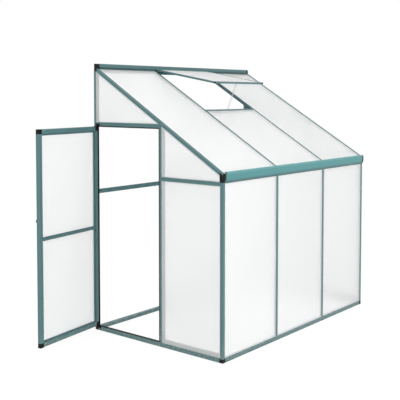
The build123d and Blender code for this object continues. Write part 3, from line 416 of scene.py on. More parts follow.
@dataclass(frozen=True)
class PowderCoat:
    """Satin powder coat on an aluminium extrusion."""

    name: str
    colour: Colour
    worn: Colour = (0.36, 0.42, 0.42)
    dust: Colour = (0.42, 0.42, 0.38)
    gloss: Span = (0.36, 0.48)
    cloud_scale: float = 4.0
    cloud_light: Span = (0.90, 1.10)
    peel_scale: float = 850.0
    peel_depth: float = 0.0004
    peel_strength: float = 0.12
    speck_scale: float = 60.0
    speck_span: Span = (0.45, 0.70)
    speck_share: float = 0.5
    dust_height: float = 0.16
    rub_scale: float = 35.0
    rub_span: Span = (0.42, 0.68)
    rub_share: Span = (0.05, 0.55)
    edge: float = 0.0011

    def material(self) -> bpy.types.Material:
        """Coat with a fine orange peel, faint cloudiness, rubbed edges and dust near the ground.

        Returns:
            The new material.
        """
        graph = ShaderGraph(self.name)
        place = graph.place()
        cloud = graph.noise(place, self.cloud_scale, detail=4.0)
        peel = graph.noise(place, self.peel_scale)
        new = graph.mix(cloud, *(shade(self.colour, light) for light in self.cloud_light))
        # Painted highlight and shade bands and the cap colour, where a coat adds them; plain bars
        # keep the coat unchanged.
        coat = self.painted_shading_and_caps(graph, place, new)
        height = graph.axis(place, "Z")
        specks = graph.noise(place, self.speck_scale, detail=5.0)
        speck = graph.ramp(specks, *self.speck_span, 0.0, self.speck_share)
        low = graph.math("MULTIPLY", graph.ramp(height, 0.0, self.dust_height, 1.0, 0.0), speck)
        dusty = graph.mix(low, coat, shade(self.dust))
        rubs = graph.noise(place, self.rub_scale, detail=4.0)
        rubbed = graph.ramp(rubs, *self.rub_span, *self.rub_share)
        edge = graph.math("MULTIPLY", graph.edges(self.edge), rubbed)
        graph.set(
            base_color=graph.mix(edge, dusty, shade(self.worn)),
            roughness=graph.spread(cloud, *self.gloss),
        )
        graph.bump(peel, self.peel_strength, self.peel_depth)
        return graph.material

    def painted_shading_and_caps(self, graph: ShaderGraph, place: Socket, coat: Socket) -> Socket:
        """Coat as plain bars show it, unchanged: only the gutter's coat adds painted highlight and
        shade bands and its cap colour.
        """
        return coat


@dataclass(frozen=True)
class GutterCoat(PowderCoat):
    """Powder coat of the gutter, with a painted highlight along its rim, painted shade along its
    foot and the black skirts of its end caps.
    """

    foot: float = 1.184
    crease: float = 1.206
    rim: float = 1.255
    highlight_depth: float = 0.018
    skirt: float = 0.928
    wander: float = 0.003
    # Colour of the painted highlight along the rim, then colour of the painted shade along the
    # foot.
    painted_highlight: Colour = (0.150, 0.350, 0.352)
    painted_shade: Colour = (0.020, 0.070, 0.075)
    cap: Colour = (0.006, 0.0065, 0.007)
    edge_noise_scale: Triple = (45.0, 1.0, 5.0)
    highlight_share: float = 0.8
    shade_share: float = 0.75

    def painted_shading_and_caps(self, graph: ShaderGraph, place: Socket, coat: Socket) -> Socket:
        """Coat with a painted highlight band down from the rim and a painted shade band up from the
        foot, their edges wandering a little.

        Args:
            graph: Material that takes the nodes.
            place: Object coordinates.
            coat: Colour of the coat when new.

        Returns:
            The colour with its ends in the black of the caps.
        """
        # Painted highlight: lighter band below the rim. Painted shade: darker band from the foot up
        # to the crease. Noise makes both edges wander.
        runs = graph.noise(graph.stretched(place, self.edge_noise_scale), 1.0, detail=3.0)
        drift = graph.spread(runs, -self.wander, self.wander)
        level = graph.math("ADD", graph.axis(place, "Z"), drift)
        highlight_band = graph.ramp(level, self.rim - self.highlight_depth, self.rim, 0.0, self.highlight_share)
        shade_band = graph.ramp(level, self.foot, self.crease, self.shade_share, 0.0)
        highlighted = graph.mix(highlight_band, coat, shade(self.painted_highlight))
        highlighted_and_shaded = graph.mix(shade_band, highlighted, shade(self.painted_shade))
        along = graph.math("ABSOLUTE", graph.axis(place, "X"))
        capped = graph.math("GREATER_THAN", along, self.skirt)
        return graph.mix(capped, highlighted_and_shaded, shade(self.cap))


@dataclass(frozen=True)
class TwinWall:
    """Frosted twin-wall sheet whose ribs run along its flutes."""

    name: str = "twin_wall_sheet"
    colour: Colour = (0.978, 0.982, 0.982)
    shine_through: Colour = (0.86, 0.88, 0.88)
    clear: float = 0.68
    rib: float = 0.22
    web: float = 0.92
    web_span: Span = (0.41, 0.48)
    frost: Span = (0.30, 0.36)
    streak: float = 0.02
    streak_scale: Triple = (0.4, 0.004, 1.0)
    milk_scale: float = 3.0
    milk_light: Span = (0.985, 1.015)
    grain_scale: float = 420.0
    grain_depth: float = 0.0004
    grain_strength: float = 0.06
    density: float = 1.45

    def material(self) -> bpy.types.Material:
        """Milky sheet that blurs what is behind it, a little denser at each rib.

        Returns:
            The new material.
        """
        graph = ShaderGraph(self.name)
        flutes = graph.add("ShaderNodeUVMap", uv_map="flutes").outputs[0]
        inside = graph.math("FRACT", graph.axis(flutes, "X"))
        away = graph.math("ABSOLUTE", graph.math("SUBTRACT", inside, 0.5))
        web = graph.ramp(away, *self.web_span, 0.0, 1.0)
        rib = graph.math("MULTIPLY", web, -self.rib)
        drawn = graph.noise(graph.stretched(flutes, self.streak_scale), 1.0)
        streak = graph.spread(drawn, -self.streak, self.streak)
        milk = graph.noise(graph.place(), self.milk_scale, detail=4.0)
        milky = graph.mix(milk, *(shade(self.colour, light) for light in self.milk_light))
        graph.set(
            base_color=graph.mix(web, milky, shade(self.colour, self.web)),
            transmission_weight=graph.math("ADD", graph.math("ADD", streak, rib), self.clear),
            roughness=graph.spread(milk, *self.frost),
            ior=self.density,
        )
        grain = graph.noise(graph.place(), self.grain_scale)
        graph.bump(grain, self.grain_strength, self.grain_depth)
        graph.let_light_through(shade(self.shine_through))
        return graph.material


@dataclass(frozen=True)
class MouldedPlastic:
    """Black moulded plastic with a fine spark grain."""

    name: str = "black_moulded_plastic"
    colour: Colour = (0.006, 0.0065, 0.007)
    gloss: Span = (0.42, 0.60)
    sheen: float = 0.18
    scuff_light: float = 2.6
    scuff_scale: float = 45.0
    scuff_span: Span = (0.5, 0.75)
    scuff_share: float = 0.35
    grain_scale: float = 1500.0
    grain_depth: float = 0.0003
    grain_strength: float = 0.25

    def material(self) -> bpy.types.Material:
        """Dark plastic, paler where it is rubbed.

        Returns:
            The new material.
        """
        graph = ShaderGraph(self.name)
        place = graph.place()
        grain = graph.noise(place, self.grain_scale)
        scuffs = graph.noise(place, self.scuff_scale, detail=5.0)
        scuff = graph.ramp(scuffs, *self.scuff_span, 0.0, self.scuff_share)
        graph.set(
            base_color=graph.mix(scuff, shade(self.colour), shade(self.colour, self.scuff_light)),
            roughness=graph.spread(grain, *self.gloss),
            specular_ior_level=self.sheen,
        )
        graph.bump(grain, self.grain_strength, self.grain_depth)
        return graph.material


@dataclass(frozen=True)
class SealRubber:
    """Black rubber strip with a dull skin."""

    name: str = "seal_rubber"
    colour: Colour = (0.010, 0.010, 0.010)
    gloss: Span = (0.66, 0.86)
    sheen: float = 0.3
    skin_scale: float = 300.0
    bloom_light: float = 3.0
    bloom_scale: float = 25.0
    bloom_span: Span = (0.4, 0.8)
    bloom_share: float = 0.6
    line_scale: float = 1400.0
    line_stretch: Triple = (1.0, 1.0, 0.02)
    line_depth: float = 0.0003
    line_strength: float = 0.2

    def material(self) -> bpy.types.Material:
        """Dull rubber with a dusty bloom.

        Returns:
            The new material.
        """
        graph = ShaderGraph(self.name)
        place = graph.place()
        blooms = graph.noise(place, self.bloom_scale, detail=5.0)
        bloom = graph.ramp(blooms, *self.bloom_span, 0.0, self.bloom_share)
        lines = graph.noise(graph.stretched(place, self.line_stretch), self.line_scale)
        graph.set(
            base_color=graph.mix(bloom, shade(self.colour), shade(self.colour, self.bloom_light)),
            roughness=graph.spread(graph.noise(place, self.skin_scale), *self.gloss),
            specular_ior_level=self.sheen,
        )
        graph.bump(lines, self.line_strength, self.line_depth)
        return graph.material


@dataclass(frozen=True)
class ZincPlate:
    """Bare metal with drawn lines: zinc plate on small steel fittings, or bright aluminium."""

    name: str = "zinc_plate"
    colour: Colour = (0.62, 0.64, 0.65)
    gloss: Span = (0.26, 0.48)
    spangle_scale: float = 160.0
    spangle_light: Span = (0.82, 1.12)
    line_scale: float = 1300.0
    line_stretch: Triple = (1.0, 0.08, 0.08)
    line_span: Span = (0.25, 0.75)
    line_depth: float = 0.0003
    line_strength: float = 0.15

    def material(self) -> bpy.types.Material:
        """Bright metal with drawn lines and a faint spangle.

        Returns:
            The new material.
        """
        graph = ShaderGraph(self.name)
        place = graph.place()
        drawn = graph.noise(graph.stretched(place, self.line_stretch), self.line_scale, detail=3.0)
        spangle = graph.noise(place, self.spangle_scale, detail=1.0)
        metal = (shade(self.colour, light) for light in self.spangle_light)
        graph.set(
            base_color=graph.mix(spangle, *metal),
            metallic=1.0,
            roughness=graph.ramp(drawn, *self.line_span, *self.gloss),
        )
        graph.bump(drawn, self.line_strength, self.line_depth)
        return graph.material


class Finishes:
    """The materials of the house, each made once."""

    def __init__(self) -> None:
        """Make every finish."""
        self.coat = PowderCoat("green_powder_coat", (0.066, 0.152, 0.158)).material()
        self.gutter = GutterCoat("gutter_powder_coat", (0.060, 0.225, 0.232)).material()
        self.sheet = TwinWall().material()
        self.plastic = MouldedPlastic().material()
        self.rubber = SealRubber().material()
        self.zinc = ZincPlate().material()
        self.aluminium = ZincPlate("bright_aluminium", (0.77, 0.78, 0.79)).material()

    def of_slot(self, slot: str) -> bpy.types.Material:
        """Finish of a slot of the record.

        Args:
            slot: Name of the slot.

        Returns:
            The material that the slot takes.
        """
        return {
            Slot.FRAME.value: self.coat,
            Slot.SHEET.value: self.sheet,
            Slot.PLASTIC.value: self.plastic,
            Slot.RUBBER.value: self.rubber,
            Slot.METAL.value: self.zinc,
        }[slot]


def add_piece(
    name: str,
    shape: bmesh.types.BMesh,
    finish: bpy.types.Material,
    body: Body,
    replaces: tuple[str, ...] = (),
) -> None:
    """Make an object of a shape and let it ride on a body.

    Args:
        name: Name of the piece.
        shape: Finished shape, freed here.
        finish: Its material.
        body: Body that carries it.
        replaces: Nodes that it stands for.
    """
    mesh = bpy.data.meshes.new(name)
    shape.to_mesh(mesh)
    shape.free()
    mesh.materials.append(finish)
    piece = bpy.data.objects.new(name, mesh)
    bpy.context.scene.collection.objects.link(piece)
    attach(piece, body.value)
    if replaces:
        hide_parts(*replaces)
    LOG.info("%s: %d faces on %s", name, len(mesh.polygons), body.value)


def seat(place: Vector, axis: Vector) -> Matrix:
    """Frame at a place whose Z looks along an axis.

    Args:
        place: Origin of the frame.
        axis: Direction of its Z.

    Returns:
        The frame as a matrix.
    """
    return Matrix.Translation(place) @ axis.to_track_quat("Z", "Y").to_matrix().to_4x4()


def soften(
    shape: bmesh.types.BMesh, edges: list[bmesh.types.BMEdge], width: float, steps: int = 2
) -> None:
    """Round some edges.

    Args:
        shape: Shape that holds them.
        edges: Edges to round.
        width: Width of the rounding.
        steps: Segments across it.
    """
    bmesh.ops.bevel(
        shape, geom=edges, offset=width, affect="EDGES", segments=steps, profile=0.5, material=-1
    )


def smooth_shade(shape: bmesh.types.BMesh, limit: float = math.radians(35.0)) -> None:
    """Shade a shape smoothly between its sharp edges.

    Args:
        shape: Shape to shade.
        limit: Least angle of a sharp edge.
    """
    for face in shape.faces:
        face.smooth = True
    for edge in shape.edges:
        edge.smooth = len(edge.link_faces) == 2 and edge.calc_face_angle(0.0) < limit


def add_fastener(
    shape: bmesh.types.BMesh, place: Vector, axis: Vector, head: Head, radius: float
) -> None:
    """Add a washer and the head of a bolt or rivet.

    Args:
        shape: Shape that takes it.
        place: Point on the surface under the head.
        axis: Direction out of the surface.
        head: Form of the head.
        radius: Radius of the head.
    """
    there = seat(place, axis.normalized())
    thick = radius * WASHER_THICK
    tall = radius * HEAD_TALL
    bmesh.ops.create_cone(
        shape,
        cap_ends=True,
        segments=WASHER_STEPS,
        radius1=radius * WASHER_FOOT,
        radius2=radius * WASHER_TOP,
        depth=thick,
        matrix=there @ Matrix.Translation((0.0, 0.0, thick / 2)),
    )
    made = bmesh.ops.create_cone(
        shape,
        cap_ends=True,
        segments=head.corners,
        radius1=radius,
        radius2=radius * head.crown,
        depth=tall,
        matrix=there @ Matrix.Translation((0.0, 0.0, thick + tall / 2)),
    )
    top = thick + tall - NEAR
    inverse = there.inverted()
    rim = {
        edge
        for vert in made["verts"]
        for edge in vert.link_edges
        if all((inverse @ end.co).z > top for end in edge.verts)
    }
    soften(shape, list(rim), radius * HEAD_ROUNDING)


def spun(profile: list[Pair], there: Matrix, steps: int) -> bmesh.types.BMesh:
    """Turned shape.

    Args:
        profile: Radius and height of its outline, from the axis to the axis.
        there: Frame whose Z is the axis.
        steps: Segments round the axis.

    Returns:
        The closed shape.
    """
    shape = bmesh.new()
    verts = [shape.verts.new((radius, 0.0, height)) for radius, height in profile]
    edges = [shape.edges.new(pair) for pair in zip(verts, verts[1:])]
    bmesh.ops.spin(
        shape,
        geom=verts + edges,
        cent=(0, 0, 0),
        axis=(0, 0, 1),
        angle=2 * math.pi,
        steps=steps,
        use_merge=True,
    )
    bmesh.ops.remove_doubles(shape, verts=shape.verts, dist=NEAR)
    bmesh.ops.recalc_face_normals(shape, faces=shape.faces)
    bmesh.ops.transform(shape, matrix=there, verts=shape.verts)
    smooth_shade(shape)
    return shape


def add_block(shape: bmesh.types.BMesh, low: Vector, high: Vector, rounding: float) -> None:
    """Add a rounded block.

    Args:
        shape: Shape that takes it.
        low: Lowest corner.
        high: Highest corner.
        rounding: Width of its rounded edges.
    """
    spread = Matrix.Diagonal((*(high - low), 1.0))
    there = Matrix.Translation((high + low) / 2) @ spread
    made = bmesh.ops.create_cube(shape, size=1.0, matrix=there)
    edges = list({edge for vert in made["verts"] for edge in vert.link_edges})
    soften(shape, edges, rounding)


@dataclass(frozen=True)
class SheetRun:
    """Sheets that lie in one plane direction and ride on one body."""

    nodes: tuple[str, ...]
    across: Vector
    outward: Vector
    body: Body


@dataclass
class Glazing:
    """Fluted twin-wall sheets in place of the plain plates."""

    house: House
    finishes: Finishes
    flute: float = 0.010
    sag: float = 0.00012
    # Limits for joining a plate's triangles, then for cutting and finding its lines, in steps.
    merge: float = 1e-5
    flat: float = math.radians(1.0)
    spare: float = 0.2
    on_line: float = 0.01

    def runs(self) -> list[SheetRun]:
        """Every sheet of the house with the directions across its flutes and out of its face.

        Returns:
            The sheets, one run for each plane.
        """
        gable = ("top", "eave", "low")
        front = tuple(f"front_sheet_{number}" for number in (1, 2, 3))
        roof = tuple(f"roof_sheet_{number}" for number in (1, 2, 3))
        left = tuple(f"left_gable_{part}_sheet" for part in gable)
        right = tuple(f"right_gable_{part}_sheet" for part in (*gable, "bay"))
        leaf = tuple(f"door_{part}_sheet" for part in ("upper", "lower"))
        door = self.house.door_turn().to_3x3()
        vent = self.house.vent_turn().to_3x3()
        out = self.house.roof_out()
        return [
            SheetRun(front, EAST, -NORTH, Body.FRAME),
            SheetRun(roof, EAST, out, Body.FRAME),
            SheetRun(left, NORTH, -EAST, Body.FRAME),
            SheetRun(right, NORTH, EAST, Body.FRAME),
            SheetRun(leaf, door @ NORTH, door @ -EAST, Body.DOOR),
            SheetRun(("vent_sheet",), EAST, vent @ out, Body.VENT),
        ]

    def fluted(self, node: str, across: Vector, outward: Vector) -> bmesh.types.BMesh:
        """Sheet whose skins dip a little between the ribs.

        Args:
            node: Node of the plain plate.
            across: Direction across the flutes.
            outward: Direction out of the face.

        Returns:
            The sheet, with its flutes counted in a UV map.
        """
        shape = bmesh.new()
        shape.from_mesh(frame["nodes"][node].data)
        bmesh.ops.remove_doubles(shape, verts=shape.verts, dist=self.merge)
        bmesh.ops.dissolve_limit(shape, angle_limit=self.flat, verts=shape.verts, edges=shape.edges)
        low = min(vert.co.dot(across) for vert in shape.verts)
        high = max(vert.co.dot(across) for vert in shape.verts)
        middle = sum(vert.co.dot(outward) for vert in shape.verts) / len(shape.verts)
        step = self.flute / 2
        for number in range(1, int((high - low) / step - self.spare) + 1):
            everything = [*shape.verts, *shape.edges, *shape.faces]
            line = across * (low + number * step)
            bmesh.ops.bisect_plane(
                shape, geom=everything, dist=NEAR, plane_co=line, plane_no=across
            )
        for vert in shape.verts:
            number = (vert.co.dot(across) - low) / step
            if round(number) % 2 and abs(number - round(number)) < self.on_line:
                side = 1.0 if vert.co.dot(outward) > middle else -1.0
                vert.co -= outward * side * self.sag
        self.count_flutes(shape, across, across.cross(outward), low)
        smooth_shade(shape)
        return shape

    def count_flutes(
        self, shape: bmesh.types.BMesh, across: Vector, along: Vector, low: float
    ) -> None:
        """Write flute number and length along the flute to a UV map.

        Args:
            shape: Sheet to map.
            across: Direction across the flutes.
            along: Direction along them.
            low: Place of the first edge.
        """
        layer = shape.loops.layers.uv.new("flutes")
        for face in shape.faces:
            for loop in face.loops:
                spot = loop.vert.co
                flute = (spot.dot(across) - low) / self.flute
                loop[layer].uv = (flute, spot.dot(along) / self.flute)

    def build(self) -> None:
        """Make every sheet."""
        for run in self.runs():
            for node in run.nodes:
                shape = self.fluted(node, run.across, run.outward)
                name = node.replace("sheet", "fluted_sheet")
                add_piece(name, shape, self.finishes.sheet, run.body, (node,))


@dataclass
class FixedFrame:
    """Finishes of the fixed bars and the fasteners that hold them."""

    house: House
    finishes: Finishes
    screw: float = 0.0042
    bolt: float = 0.0055
    # Screws lie this far from the edge of a bar and at these heights.
    edge_line: float = 0.007
    post_line: float = 0.008
    stud_foot: float = 0.045
    stud_head: float = 1.165
    post_foot: float = 0.060
    post_head: float = 1.150
    block_reach: float = 0.014
    rail_reach: float = 0.012
    rear_rail_height: float = 1.036
    plate: float = 0.0025
    roof_bar: float = 0.024
    # Distance behind the front and height; distance inward and down the slope.
    gusset_bolts: tuple[Pair, ...] = ((0.016, 0.078), (0.080, 0.015))
    vent_bolts: tuple[Pair, ...] = ((0.0, 0.590), (0.055, 0.633))
    pivot_heights: Pair = (1.5335, 0.0225)
    pivot_line: Pair = (0.0275, 0.0525)

    def dress(self) -> None:
        """Give every node the finish of its slot."""
        for part in frame["record"]["subparts"]:
            node = frame["nodes"][part["node"]]
            finish = self.finishes.of_slot(part["material_slot"])
            if part["node"] == "eave_gutter":
                finish = self.finishes.gutter
            elif part["node"] == "vent_stay":
                finish = self.finishes.aluminium
            node.data.materials.clear()
            node.data.materials.append(finish)
            LOG.info("%s: %s", part["node"], finish.name)

    def left_gable(self) -> Spots:
        """Screws on the outside of the left gable.

        Returns:
            Place and direction of each.
        """
        x = -self.house.half
        jamb = -self.house.jamb
        front = -(self.house.depth - self.edge_line)
        spots = [
            (jamb, self.house.header),
            (jamb, self.house.gable_rail),
            (jamb, self.stud_foot),
            (-self.edge_line, self.house.header),
            (-self.edge_line, self.post_foot),
            (front, self.house.gable_rail),
            (front, self.post_foot),
        ]
        return [(Vector((x, y, z)), -EAST) for y, z in spots]

    def front(self) -> Spots:
        """Screws at the feet and heads of the front bars.

        Returns:
            Place and direction of each.
        """
        y = -self.house.depth
        spots = []
        for side in SIDES:
            stud = side * self.house.bay / 2
            spots += [(stud, self.stud_foot), (stud, self.stud_head)]
        for side in SIDES:
            post = side * (self.house.half - self.post_line)
            spots += [(post, self.post_foot), (post, self.post_head)]
        return [(Vector((x, y, z)), -NORTH) for x, z in spots]

    def base_blocks(self) -> Spots:
        """Screws that hold the base rails to the spigots of the corner blocks.

        Returns:
            Place and direction of each.
        """
        inner = self.house.half - self.house.bar_depth - self.block_reach
        rear = -self.house.bar_depth / 2
        return [(Vector((side * inner, rear, self.house.sill)), UP) for side in SIDES]

    def gussets(self) -> Spots:
        """Bolts through the corner plates.

        Returns:
            Place and direction of each.
        """
        spots = []
        face = self.house.half - self.house.bar_depth - self.plate
        front = -self.house.depth
        under = -self.roof_bar - self.plate
        down = -self.house.roof_out()
        for side in SIDES:
            for behind, height in self.gusset_bolts:
                spots.append((Vector((side * face, front + behind, height)), -side * EAST))
            bar = side * self.house.bay / 2
            for inward, slope in self.vent_bolts:
                spots.append((self.house.roof_point(bar - side * inward, slope, under), down))
        return spots

    def pivots(self) -> Spots:
        """Screws in the leaves of the door pivots."""
        x = -self.house.half - self.plate
        return [(Vector((x, -y, z)), -EAST) for z in self.pivot_heights for y in self.pivot_line]

    def rear_rail(self) -> Spots:
        """Bolts at the ends of the rail across the back.

        Returns:
            Place and direction of each.
        """
        reach = self.house.half - self.house.bar_depth - self.rail_reach
        y = -self.house.bar_depth / 2
        return [(Vector((side * reach, y, self.rear_rail_height)), -NORTH) for side in SIDES]

    def fasten(
        self,
        name: str,
        spots: Spots,
        head: Head,
        radius: float,
        finish: bpy.types.Material,
    ) -> None:
        """Make one piece of a group of fasteners.

        Args:
            name: Name of the piece.
            spots: Place and direction of each.
            head: Form of the heads.
            radius: Radius of a head.
            finish: Material of the group.
        """
        shape = bmesh.new()
        for place, axis in spots:
            add_fastener(shape, place, axis, head, radius)
        smooth_shade(shape)
        add_piece(name, shape, finish, Body.FRAME)

    def build(self) -> None:
        """Dress the nodes and add the fasteners."""
        self.dress()
        coat, zinc, plastic = self.finishes.coat, self.finishes.zinc, self.finishes.plastic
        self.fasten("gable_screws", self.left_gable(), Head.ROUND, self.screw, coat)
        self.fasten("front_screws", self.front(), Head.ROUND, self.screw, coat)
        self.fasten("base_screws", self.base_blocks(), Head.ROUND, self.screw, zinc)
        self.fasten("gusset_bolts", self.gussets(), Head.HEXAGON, self.bolt, zinc)
        self.fasten("pivot_screws", self.pivots(), Head.ROUND, self.screw, plastic)
        self.fasten("rail_bolts", self.rear_rail(), Head.HEXAGON, self.bolt, coat)


@dataclass
class WingNut:
    """Wing nut of the stay with a turned boss and two rounded wings."""

    finishes: Finishes
    node: str = "stay_wing_nut"
    bore: float = 0.0028
    foot: float = 0.0060
    waist: float = 0.0046
    tip: float = 0.0040
    flange: float = 0.25
    taper: float = 0.92
    wing_start: float = 0.12
    wing_half: float = 0.0012
    rounding: float = 0.0009
    steps: int = 28

    def boss(self, long: float) -> list[Pair]:
        """Outline of the boss.

        Args:
            long: Length of the nut along its axis.

        Returns:
            Radius and height of each corner.
        """
        return [
            (self.bore, 0.0),
            (self.foot, 0.0),
            (self.foot, long * self.flange),
            (self.waist, long * self.taper),
            (self.tip, long),
            (self.bore, long),
        ]

    def build(self) -> None:
        """Turn the boss and add the wings."""
        low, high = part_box(self.node)
        middle = (low + high) / 2
        long = high.x - low.x
        there = seat(Vector((low.x, middle.y, middle.z)), EAST)
        shape = spun(self.boss(long), there, self.steps)
        start = low.x + long * self.wing_start
        for side in SIDES:
            near, far = sorted((side * self.tip, side * (high.y - middle.y)))
            lowest = Vector((start, middle.y + near, middle.z - self.wing_half))
            highest = Vector((high.x, middle.y + far, middle.z + self.wing_half))
            add_block(shape, lowest, highest, self.rounding)
        smooth_shade(shape)
        plastic = self.finishes.plastic
        add_piece("turned_wing_nut", shape, plastic, Body.FRAME, (self.node,))


@dataclass
class DoorLeaf:
    """Pull and screws of the door, drawn closed and then swung open."""

    house: House
    finishes: Finishes
    face: float = 0.981
    thickness: float = 0.030
    hinge_edge: float = 0.026
    free_edge: float = 0.656
    bottom: float = 0.036
    top: float = 1.5203
    inset: float = 0.016
    screw_inset: float = 0.022
    screw: float = 0.0040
    pull_height: float = 0.900
    pull_steps: int = 48
    pull: tuple[Pair, ...] = (
        (0.0, 0.0),
        (0.0110, 0.0),
        (0.0107, 0.0007),
        (0.0092, 0.0014),
        (0.0086, 0.0022),
        (0.0092, 0.0031),
        (0.0112, 0.0039),
        (0.0119, 0.0047),
        (0.0120, 0.0056),
        (0.0116, 0.0065),
        (0.0105, 0.0072),
        (0.0085, 0.0074),
        (0.0055, 0.0068),
        (0.0025, 0.0064),
        (0.0, 0.0063),
    )

    def screws(self) -> Spots:
        """Screws in the corner blocks, on both faces of the closed door.

        Returns:
            Place and direction of each.
        """
        spots = []
        edges = (self.hinge_edge + self.screw_inset, self.free_edge - self.screw_inset)
        for y in (-edge for edge in edges):
            for z in (self.bottom + self.screw_inset, self.top - self.screw_inset):
                spots.append((Vector((-self.face, y, z)), -EAST))
                spots.append((Vector((-self.face + self.thickness, y, z)), EAST))
        return spots

    def build(self) -> None:
        """Make the screws and the pull in their open place."""
        plastic = self.finishes.plastic
        turn = self.house.door_turn()
        shape = bmesh.new()
        for place, axis in self.screws():
            add_fastener(shape, turn @ place, turn.to_3x3() @ axis, Head.ROUND, self.screw)
        smooth_shade(shape)
        add_piece("door_corner_screws", shape, plastic, Body.DOOR)
        spot = Vector((-self.face, -(self.free_edge - self.inset), self.pull_height))
        there = seat(turn @ spot, turn.to_3x3() @ -EAST)
        pull = spun(list(self.pull), there, self.pull_steps)
        add_piece("turned_door_pull", pull, plastic, Body.DOOR, ("door_knob",))


@dataclass
class RoofVent:
    """End plugs and rivets of the vent, drawn closed and then lifted."""

    house: House
    finishes: Finishes
    end: float = 0.644
    gap: float = 0.001
    height: float = 0.014
    tube: float = 0.008
    plug: float = 0.014
    skin: float = 0.0006
    rounding: float = 0.0009
    rivet: float = 0.0022
    rivet_inset: float = 0.004
    rivet_top: float = 0.060
    rivet_foot: float = 0.024

    def plugs(self) -> bmesh.types.BMesh:
        """Black plugs over the two ends of the bottom bar.

        Returns:
            The plugs in their lifted place.
        """
        shape = bmesh.new()
        half = self.house.bay / 2
        origin = self.house.roof_point(0.0, 0.0, 0.0)
        lay = Matrix.Translation(origin) @ Matrix.Rotation(self.house.pitch, 4, "X")
        for side in SIDES:
            near, far = sorted((side * (half - self.plug), side * (half + self.skin)))
            back = -(self.end - self.tube - self.skin)
            low = Vector((near, -(self.end + self.skin), self.gap - self.skin / 2))
            high = Vector((far, back, self.gap + self.height + self.skin))
            add_block(shape, low, high, self.rounding)
        bmesh.ops.transform(shape, matrix=self.house.vent_turn() @ lay, verts=shape.verts)
        smooth_shade(shape)
        return shape

    def rivets(self) -> bmesh.types.BMesh:
        """Rivets that join the side bars of the vent to its top and bottom bars.

        Returns:
            The rivets in their lifted place.
        """
        shape = bmesh.new()
        turn = self.house.vent_turn()
        out = turn.to_3x3() @ self.house.roof_out()
        half = self.house.bay / 2 - self.rivet_inset
        face = self.gap + self.height
        for slope in (self.rivet_top, self.end - self.rivet_foot):
            for side in SIDES:
                place = turn @ self.house.roof_point(side * half, slope, face)
                add_fastener(shape, place, out, Head.ROUND, self.rivet)
        smooth_shade(shape)
        return shape

    def build(self) -> None:
        """Make the plugs and the rivets."""
        add_piece("vent_end_plugs", self.plugs(), self.finishes.plastic, Body.VENT)
        add_piece("vent_rivets", self.rivets(), self.finishes.coat, Body.VENT)


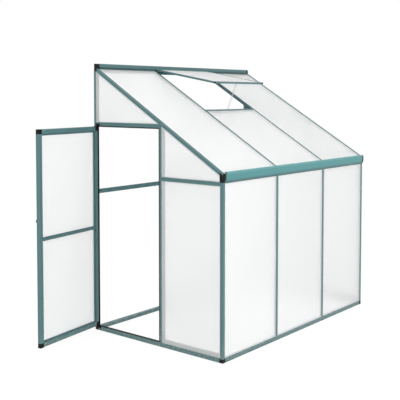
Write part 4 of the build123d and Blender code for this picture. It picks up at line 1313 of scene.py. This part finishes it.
@dataclass
class Studio:
    """Pale floor, soft light and the camera at the viewing angle of the photograph."""

    sky: float = 0.86
    floor_size: float = 60.0
    floor_drop: float = 0.0005
    floor_matt: float = 0.86
    floor_glow: float = 1.06
    floor_white: float = 0.80
    aim: Triple = (0.0, -0.6, 0.9)
    lamp_size: float = 4.0
    key_place: Triple = (-0.8, -7.0, 4.8)
    key_power: float = 250.0
    side_place: Triple = (-7.0, -2.0, 4.0)
    side_power: float = 100.0
    place: Triple = (-4.9174, -4.2470, 1.7470)
    yaw: float = 50.7801
    dip: float = 2.9757
    lens: float = 70.1952
    shift: float = -0.16
    sensor: float = 36.0

    def seen(self, tree: bpy.types.NodeTree) -> Socket:
        """Tell rays that show a surface from rays that light one.

        Args:
            tree: Node tree that takes the nodes.

        Returns:
            One for rays from the camera, from gloss and through glass, and zero for the rest.
        """
        path = tree.nodes.new("ShaderNodeLightPath")
        value = path.outputs["Is Camera Ray"]
        for name in ("Is Glossy Ray", "Is Transmission Ray"):
            node = tree.nodes.new("ShaderNodeMath")
            node.operation = "MAXIMUM"
            tree.links.new(value, node.inputs[0])
            tree.links.new(path.outputs[name], node.inputs[1])
            value = node.outputs[0]
        return value

    def world(self) -> None:
        """Even white light, seen as white."""
        world = bpy.data.worlds.new("studio")
        bpy.context.scene.world = world
        world.use_nodes = True
        tree = world.node_tree
        tree.nodes.clear()
        light = tree.nodes.new("ShaderNodeBackground")
        light.inputs["Color"].default_value = WHITE
        light.inputs["Strength"].default_value = self.sky
        white = tree.nodes.new("ShaderNodeBackground")
        white.inputs["Color"].default_value = WHITE
        white.inputs["Strength"].default_value = 1.0
        mix = tree.nodes.new("ShaderNodeMixShader")
        output = tree.nodes.new("ShaderNodeOutputWorld")
        tree.links.new(self.seen(tree), mix.inputs[0])
        tree.links.new(light.outputs[0], mix.inputs[1])
        tree.links.new(white.outputs[0], mix.inputs[2])
        tree.links.new(mix.outputs[0], output.inputs["Surface"])

    def floor_finish(self) -> bpy.types.Material:
        """White floor that keeps a faint shadow.

        Returns:
            The new material.
        """
        material = bpy.data.materials.new("studio_floor")
        material.use_nodes = True
        tree = material.node_tree
        tree.nodes.clear()
        matt = tree.nodes.new("ShaderNodeBsdfDiffuse")
        matt.inputs["Color"].default_value = shade((self.floor_matt,) * 3)
        glow = tree.nodes.new("ShaderNodeEmission")
        glow.inputs["Strength"].default_value = self.floor_glow
        share = tree.nodes.new("ShaderNodeMath")
        share.operation = "MULTIPLY"
        share.inputs[1].default_value = self.floor_white
        mix = tree.nodes.new("ShaderNodeMixShader")
        output = tree.nodes.new("ShaderNodeOutputMaterial")
        tree.links.new(self.seen(tree), share.inputs[0])
        tree.links.new(share.outputs[0], mix.inputs[0])
        tree.links.new(matt.outputs[0], mix.inputs[1])
        tree.links.new(glow.outputs[0], mix.inputs[2])
        tree.links.new(mix.outputs[0], output.inputs["Surface"])
        return material

    def floor(self) -> None:
        """Level floor under the house."""
        shape = bmesh.new()
        bmesh.ops.create_grid(shape, x_segments=1, y_segments=1, size=self.floor_size / 2)
        bmesh.ops.translate(shape, verts=shape.verts, vec=(0.0, 0.0, -self.floor_drop))
        mesh = bpy.data.meshes.new("studio_floor")
        shape.to_mesh(mesh)
        shape.free()
        mesh.materials.append(self.floor_finish())
        floor = bpy.data.objects.new("studio_floor", mesh)
        bpy.context.scene.collection.objects.link(floor)

    def softbox(self, name: str, place: Vector, power: float) -> None:
        """Add one square soft light that faces the house.

        Args:
            name: Name of the light.
            place: Where it hangs.
            power: Watts.
        """
        lamp = bpy.data.lights.new(name, "AREA")
        lamp.size = self.lamp_size
        lamp.energy = power
        light = bpy.data.objects.new(name, lamp)
        light.location = place
        light.visible_glossy = False
        light.visible_transmission = False
        light.rotation_euler = (Vector(self.aim) - place).to_track_quat("-Z", "Y").to_euler()
        bpy.context.scene.collection.objects.link(light)

    def camera(self) -> None:
        """Camera at the photograph's place."""
        data = bpy.data.cameras.new("camera")
        data.sensor_width = self.sensor
        data.lens = self.lens
        data.shift_y = self.shift
        camera = bpy.data.objects.new("camera", data)
        camera.location = self.place
        camera.rotation_euler = (math.radians(90.0 - self.dip), 0.0, math.radians(-self.yaw))
        bpy.context.scene.collection.objects.link(camera)
        bpy.context.scene.camera = camera

    def build(self) -> None:
        """Set up the floor, the light and the camera."""
        bpy.context.scene.view_settings.view_transform = "Standard"
        self.world()
        self.floor()
        self.softbox("key_light", Vector(self.key_place), self.key_power)
        self.softbox("side_light", Vector(self.side_place), self.side_power)
        self.camera()


def clear_start_scene() -> None:
    """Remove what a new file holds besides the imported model."""
    kept = {*frame["nodes"].values(), *frame["bodies"].values()}
    for thing in list(bpy.data.objects):
        if thing not in kept:
            bpy.data.objects.remove(thing)


def main() -> None:
    """Dress the greenhouse and set up the studio."""
    logging.basicConfig(level=logging.INFO, format="%(name)s: %(message)s")
    clear_start_scene()
    house = House()
    finishes = Finishes()
    FixedFrame(house, finishes).build()
    WingNut(finishes).build()
    Glazing(house, finishes).build()
    DoorLeaf(house, finishes).build()
    RoofVent(house, finishes).build()
    Studio().build()


if __name__ == "__main__":
    main()
